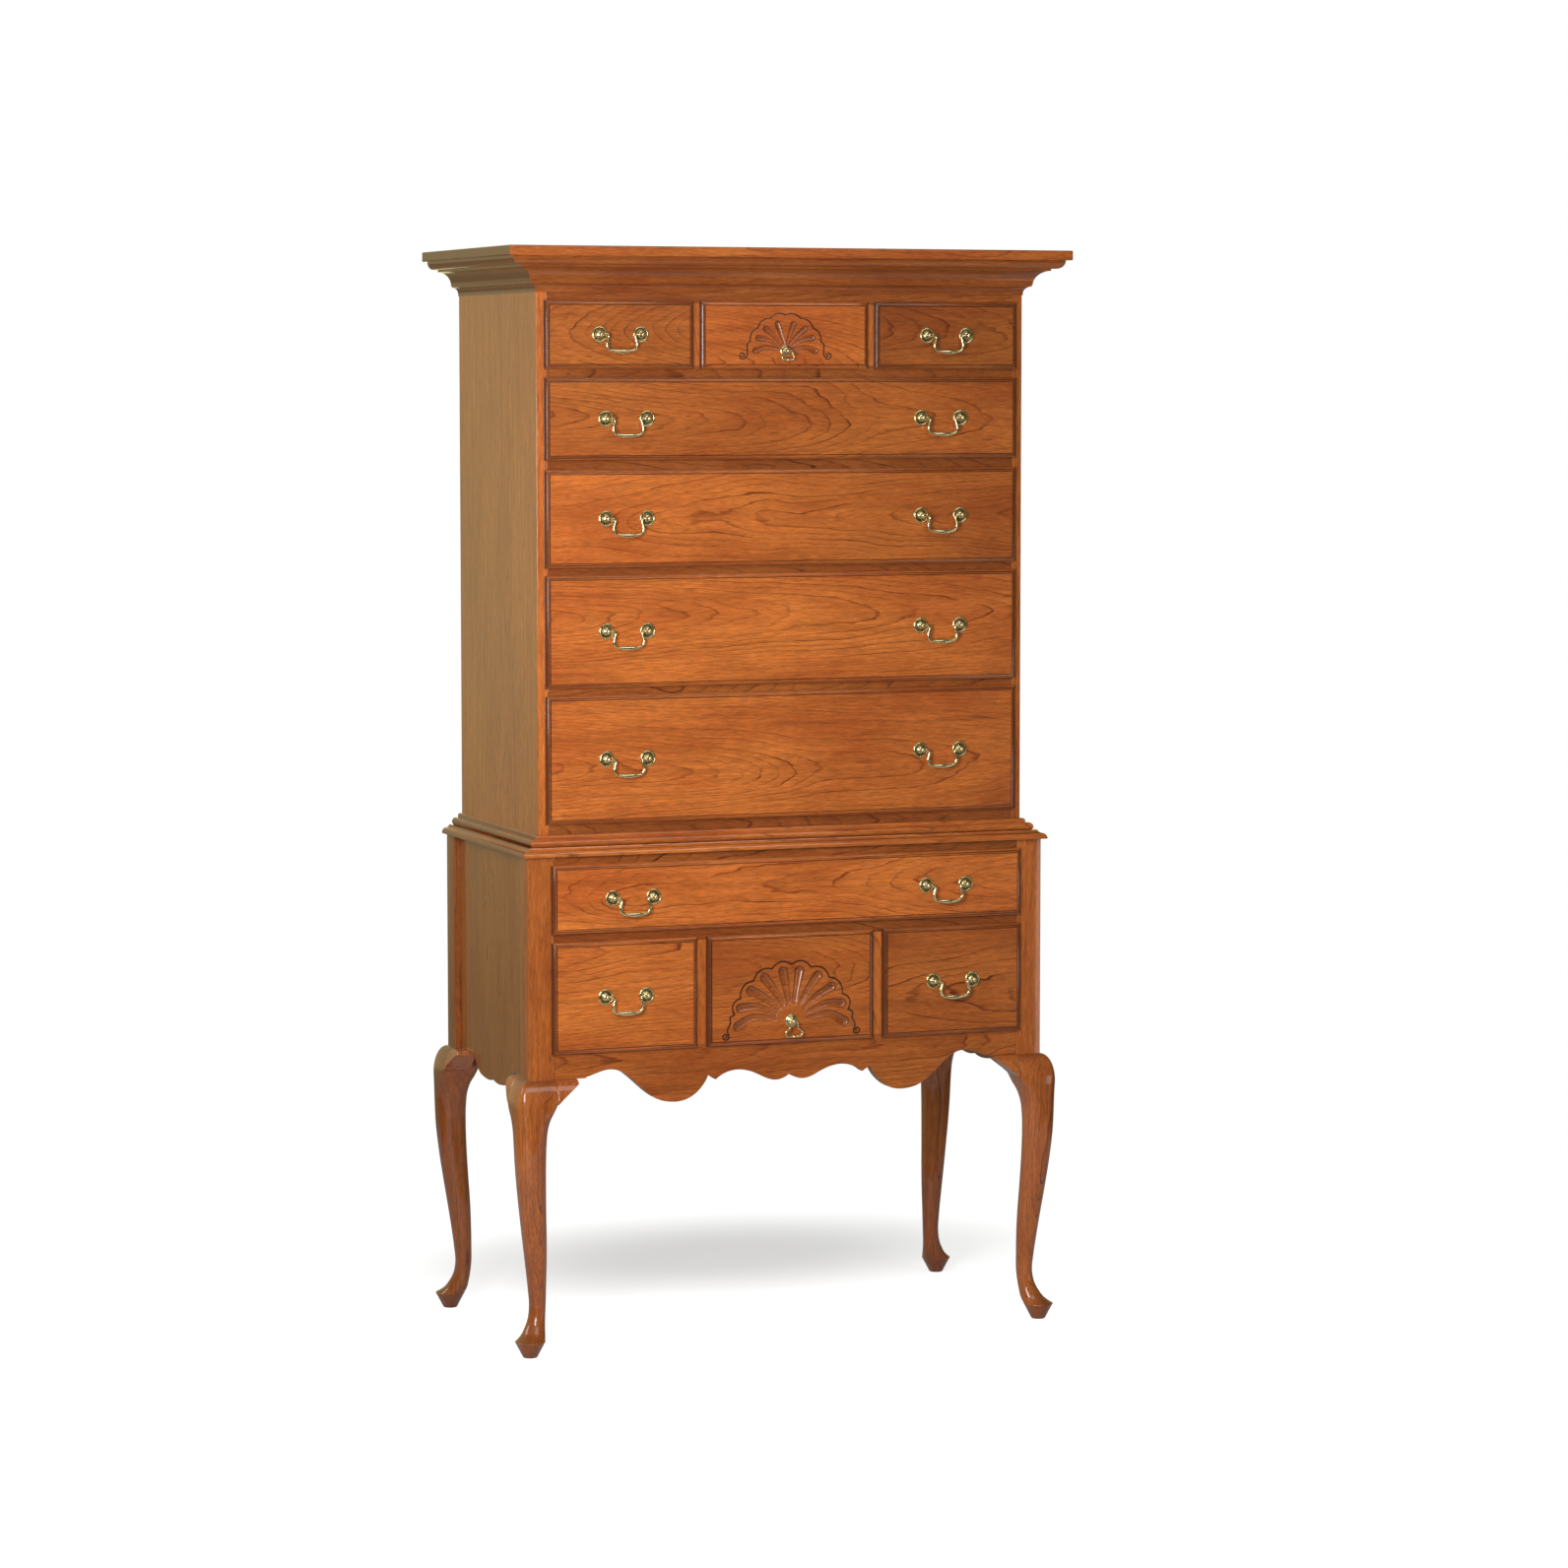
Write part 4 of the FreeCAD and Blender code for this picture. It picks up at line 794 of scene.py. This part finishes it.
def makeMounts(drawer):
    # rosettes, posts and nuts of a drawer's pulls
    low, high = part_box(drawer + "_front")
    face, back = low[1], high[1]
    pulls = [joint for child, joint in joints.items() if joint["parent"] == drawer]
    shapes = []
    for pull in pulls:
        middle = np.array(pull["pos_m"])
        ring = pull["child"].endswith("ring")
        plate, look = (knobPlates[drawer], ringPost) if ring else (rosette, post)
        half = 0.0 if ring else (boltSpread / 2) * mm
        for side in ((0,) if ring else (-1, 1)):
            centre = np.array([middle[0] + side * half, face, middle[2]])
            closed = plate["plate"] + [(3.3, 0.0)]
            shapes.append(turnedShape(closed, centre, 48, plate["dark"]))
            inside = (back - face) / mm + look["inside"]
            shapes.append(turnedShape(postProfile(look, plate["plate"][-1][1], inside), centre, look["around"]))
            shapes.append(nutShape(np.array([centre[0], back, centre[2]]), look))
    return makePiece(pieceName(drawer + "_pull_mounts"), shapes, drawer, "brass", [drawer + "_pull_mounts"], crease=40)


boltSpread = 82.5
bail = {
    "shoulder": 35.4, "pinEnd": 40.0, "neck": 25.0, "foot": 33.6, "drop": 32.0, "bow": 2.4, "bowRadius": 150.0,
    "bend": 5.0, "corner": 12.0, "pin": 1.6, "wire": 2.8, "knuckle": 3.5, "grip": 4.8, "gripHalf": 19.0,
    "around": 20,
}
dropRing = {"wire": 1.8, "bead": 2.6, "around": 18}
ringCorners = {
    # half width, drop below the hinge and corner radius down one side
    "upper_shell_drawer_ring": [(7.2, 0.0, 2.6), (14.5, 17.2, 5.0)],
    "lower_shell_drawer_ring": [(7.2, 0.0, 2.6), (8.4, 12.5, 4.5), (18.6, 21.5, 4.5), (13.0, 29.5, 4.5)],
}


def filletLine(corners, radii, step):
    # straight runs joined by arcs, as evenly spread points
    points = [np.array(corners[0], float)]
    for number in range(1, len(corners) - 1):
        here = np.array(corners[number], float)
        back = np.array(corners[number - 1], float) - here
        onward = np.array(corners[number + 1], float) - here
        back, onward = back / np.hypot(*back), onward / np.hypot(*onward)
        half = math.acos(np.clip(back @ onward, -1, 1)) / 2
        setback = radii[number] / math.tan(half)
        centre = here + (back + onward) / np.linalg.norm(back + onward) * radii[number] / math.sin(half)
        first, last = here + back * setback - centre, here + onward * setback - centre
        sweep = math.atan2(first[0] * last[1] - first[1] * last[0], first @ last)
        for angle in np.linspace(0, sweep, max(4, int(abs(sweep) * radii[number] / step) + 2)):
            turned = (first[0] * math.cos(angle) - first[1] * math.sin(angle),
                      first[0] * math.sin(angle) + first[1] * math.cos(angle))
            points.append(centre + np.array(turned))
    points.append(np.array(corners[-1], float))
    table = np.array(points)
    along = np.concatenate([[0], np.cumsum(np.hypot(*np.diff(table, axis=0).T))])
    even = np.linspace(0, along[-1], int(along[-1] / step) + 1)
    return np.column_stack([np.interp(even, along, table[:, 0]), np.interp(even, along, table[:, 1])]), even


def rodShape(line, radii, centre, around, closed=False):
    # rings of the given radii square to a line in the plane of the drawer's face
    ahead = np.roll(line, -1, 0) - np.roll(line, 1, 0)
    if not closed:
        ahead[0], ahead[-1] = line[1] - line[0], line[-1] - line[-2]
    ahead /= np.hypot(*ahead.T)[:, None]
    side = np.column_stack([-ahead[:, 1], ahead[:, 0]])
    angle = np.arange(around) / around * 2 * math.pi
    flat = line[:, None, :] + side[:, None, :] * (radii[:, None] * np.cos(angle))[..., None]
    y = radii[:, None] * np.sin(angle)
    points = np.stack([flat[..., 0], y, flat[..., 1]], -1).reshape(-1, 3) * mm + centre
    if not closed:
        return {"points": points, "faces": ringFaces(len(line), around)}
    faces = gridFaces(len(line) + 1, around, True) % len(points)
    return {"points": points, "faces": [faces]}


def makeBail(node, drawer, look):
    # a bail: pins, knuckles by the posts, goosenecks, flared arms and a swelling grip
    middle = np.array(joints[node]["pos_m"])
    low = look["bow"] - look["drop"]
    corners = [(look["pinEnd"], 0), (look["neck"], 0), (look["foot"], low), (0, -look["drop"] - 0.9),
               (-look["foot"], low), (-look["neck"], 0), (-look["pinEnd"], 0)]
    radii = [0, look["bend"], look["corner"], look["bowRadius"], look["corner"], look["bend"], 0]
    line, along = filletLine(corners, radii, 0.8)
    total = along[-1]
    nearEnd = np.minimum(along, total - along)
    fromMiddle = np.abs(along - total / 2)
    pinLong = look["pinEnd"] - look["shoulder"]
    radii = np.full(len(line), look["wire"])
    swell = np.clip(1 - (fromMiddle / look["gripHalf"]) ** 2, 0, 1) ** 1.4
    radii += (look["grip"] - look["wire"]) * swell
    for place, size in ((look["gripHalf"] - 0.5, 0.35), (look["gripHalf"] + 2.2, 0.25)):
        radii += size * np.exp(-((fromMiddle - place) / 0.8) ** 2)
    arm = nearEnd - pinLong
    radii += 0.45 * np.exp(-((arm - 26) / 9.0) ** 2) - 0.35 * np.exp(-((arm - 8.5) / 3.0) ** 2)
    knuckle = np.sqrt(np.clip(1 - ((arm - 1.6) / 1.7) ** 2, 0, 1))
    radii = np.maximum(radii, look["wire"] + (look["knuckle"] - look["wire"]) * knuckle)
    radii = np.where(arm < 0, look["pin"], radii)
    shape = rodShape(line, radii, middle, look["around"])
    return makePiece(pieceName(node), [shape], node, "brass", [node], crease=45)


def makeRing(node, drawer, look):
    # a drop ring with a bead at its foot
    middle = np.array(joints[node]["pos_m"])
    side = ringCorners[node]
    corners = [(0, 0)] + [(x, -down) for x, down, _ in side] + [(-x, -down) for x, down, _ in side[::-1]] + [(0, 0)]
    bends = [bend for _, _, bend in side]
    line, along = filletLine(corners, [0] + bends + bends[::-1] + [0], 0.6)
    fromFoot = np.abs(along - along[-1] / 2)
    radii = np.full(len(line), look["wire"]) + 0.25 * np.exp(-((fromFoot - 12) / 5) ** 2)
    radii = np.where(fromFoot > along[-1] / 2 - 6, look["wire"] - 0.02, radii)
    radii = np.maximum(radii, look["bead"] * np.sqrt(np.clip(1 - (fromFoot / look["bead"]) ** 2, 0, 1)))
    shape = rodShape(line[:-1], radii[:-1], middle, look["around"], closed=True)
    return makePiece(pieceName(node), [shape], node, "brass", [node], crease=45)


for child, joint in joints.items():
    if child.endswith("_bail"):
        makeBail(child, joint["parent"], bail)
    elif child.endswith("_ring"):
        makeRing(child, joint["parent"], dropRing)
for drawer in drawers:
    makeMounts(drawer)
print("brass")


# ---- room and light

room = {
    # nearGlow is the floor's white inside the painted shadow round shadowMiddle, farGlow its white away from it
    "floor": "#C0C0C0", "nearGlow": 0.52, "farGlow": 1.0, "ambient": 0.17, "dimSide": 0.1, "floorGloss": 0.1,
    "size": 1.9,
    "shadowMiddle": (0.16, 0.6), "shadowSize": (0.68, 0.42), "behind": (0.35, 0.937, 0.0),
    "warmWall": "#FFF7BA", "warmGlow": 0.46, "warmSide": (-0.34, 0.94, 0.0), "warmLow": 0.4,
}
lamps = {
    # place, aim, width, height, strength as seen in a reflection, colour
    "keyBox": ((-1.45, -2.15, 1.6), (-0.05, -0.2, 1.2), 0.75, 1.2, 15.0, "#FFFFFF"),
    "overheadBox": ((0.3, -2.5, 3.3), (0.05, -0.2, 1.3), 2.2, 1.3, 2.1, "#FFFFFF"),
    "lowFill": ((2.3, -2.3, 0.4), (0.0, -0.2, 1.1), 1.0, 0.7, 2.0, "#FFFFFF"),
    "edgeStrip": ((-2.5, 0.95, 2.1), (-0.5, -0.1, 1.6), 0.9, 1.2, 4.1, "#FFFDF0"),
}
eye = {"place": (-3.2207, -8.6512, 1.8586), "turn": (85.06, 0.0, -20.92), "lens": 107.48}


def seenThrough(tree, camera, gloss):
    # one strength for camera and transmission rays, one for glossy rays, 0 for the rest
    path = add(tree, "LightPath")
    clear = add(tree, "Math", {0: path.outputs["Is Camera Ray"], 1: path.outputs["Is Transmission Ray"]},
                operation="MAXIMUM")
    first = add(tree, "Math", {0: clear, 1: camera}, operation="MULTIPLY")
    return add(tree, "Math", {0: path.outputs["Is Glossy Ray"], 1: gloss, 2: first}, operation="MULTIPLY_ADD")


def makeRoom(look):
    mesh = bpy.data.meshes.new("floor")
    half = look["size"]
    mesh.from_pydata([(-half, -half, 0), (half, -half, 0), (half, half, 0), (-half, half, 0)], [], [(0, 1, 2, 3)])
    floor = bpy.data.objects.new("floor", mesh)
    bpy.context.scene.collection.objects.link(floor)
    finish, tree = startFinish("whiteFloor")
    # the floor's camera-seen white is turned down in an oval behind the feet, a painted shadow over the cast one
    wide, deep = look["shadowSize"]
    place = add(tree, "TexCoord").outputs["Object"]
    offset = add(tree, "VectorMath", {0: place, 1: (*look["shadowMiddle"], 0.0)}, operation="SUBTRACT")
    scaled = add(tree, "VectorMath", {0: offset, 1: (1 / wide, 1 / deep, 0.0)}, operation="MULTIPLY")
    away = add(tree, "VectorMath", {0: scaled}, operation="LENGTH")
    glow = add(tree, "MapRange", {0: away.outputs["Value"], 1: 0.2, 2: 1.6, 3: look["nearGlow"],
                                  4: look["farGlow"]}, interpolation_type="SMOOTHSTEP")
    shader = add(tree, "BsdfPrincipled", {
        "Base Color": linear(look["floor"]), "Roughness": 0.9, "Specular IOR Level": 0.0,
        "Emission Color": (1.0, 1.0, 1.0, 1.0), "Emission Strength": seenThrough(tree, glow, look["floorGloss"])})
    add(tree, "OutputMaterial", {0: shader})
    mesh.materials.append(finish)
    # white behind the piece, dimmer around the rest of the room as reflections see it
    world = bpy.data.worlds.new("studio")
    world.use_nodes = True
    tree = world.node_tree
    tree.nodes.clear()
    heading = add(tree, "TexCoord").outputs["Generated"]
    toBack = add(tree, "VectorMath", {0: heading, 1: look["behind"]}, operation="DOT_PRODUCT")
    toWarm = add(tree, "VectorMath", {0: heading, 1: look["warmSide"]}, operation="DOT_PRODUCT")
    warm = add(tree, "MapRange", {0: toWarm.outputs["Value"], 1: 0.2, 2: 0.8, 3: look["dimSide"], 4: look["warmGlow"]})
    # dimmer below the horizon, where the lower case sees it
    upward = add(tree, "SeparateXYZ", {0: heading}).outputs[2]
    share = add(tree, "MapRange", {0: upward, 1: -0.13, 2: -0.06, 3: look["warmLow"], 4: 1.0})
    warmed = add(tree, "Math", {0: warm, 1: share}, operation="MULTIPLY")
    gloss = add(tree, "MapRange", {0: toBack.outputs["Value"], 1: 0.95, 2: 0.97, 3: warmed, 4: 1.0})
    path = add(tree, "LightPath")
    ambient = add(tree, "Math", {0: path.outputs["Is Diffuse Ray"], 1: look["ambient"]}, operation="MULTIPLY")
    strength = add(tree, "Math", {0: seenThrough(tree, 1.0, gloss), 1: ambient}, operation="ADD")
    tint = add(tree, "MixRGB", {0: path.outputs["Is Glossy Ray"], 1: (1.0, 1.0, 1.0, 1.0),
                                2: linear(look["warmWall"])})
    sky = add(tree, "Background", {0: tint, 1: strength})
    add(tree, "OutputWorld", {0: sky})
    bpy.context.scene.world = world


def makeLamp(name, place, aim, width, height, strength, colour):
    lamp = bpy.data.lights.new(name, "AREA")
    lamp.shape = "RECTANGLE"
    lamp.size, lamp.size_y = width, height
    lamp.energy = strength * width * height * math.pi
    lamp.color = linear(colour)[:3]
    holder = bpy.data.objects.new(name, lamp)
    bpy.context.scene.collection.objects.link(holder)
    holder.location = place
    holder.rotation_euler = (Vector(aim) - Vector(place)).to_track_quat("-Z", "Y").to_euler()


def makeCamera(look):
    data = bpy.data.cameras.new("eye")
    data.sensor_width, data.lens = 36.0, look["lens"]
    camera = bpy.data.objects.new("eye", data)
    camera.location = look["place"]
    camera.rotation_euler = [math.radians(angle) for angle in look["turn"]]
    bpy.context.scene.collection.objects.link(camera)
    bpy.context.scene.camera = camera


makeRoom(room)
for name, settings in lamps.items():
    makeLamp(name, *settings)
makeCamera(eye)
bpy.context.scene.view_settings.view_transform = "Standard"
print("room")
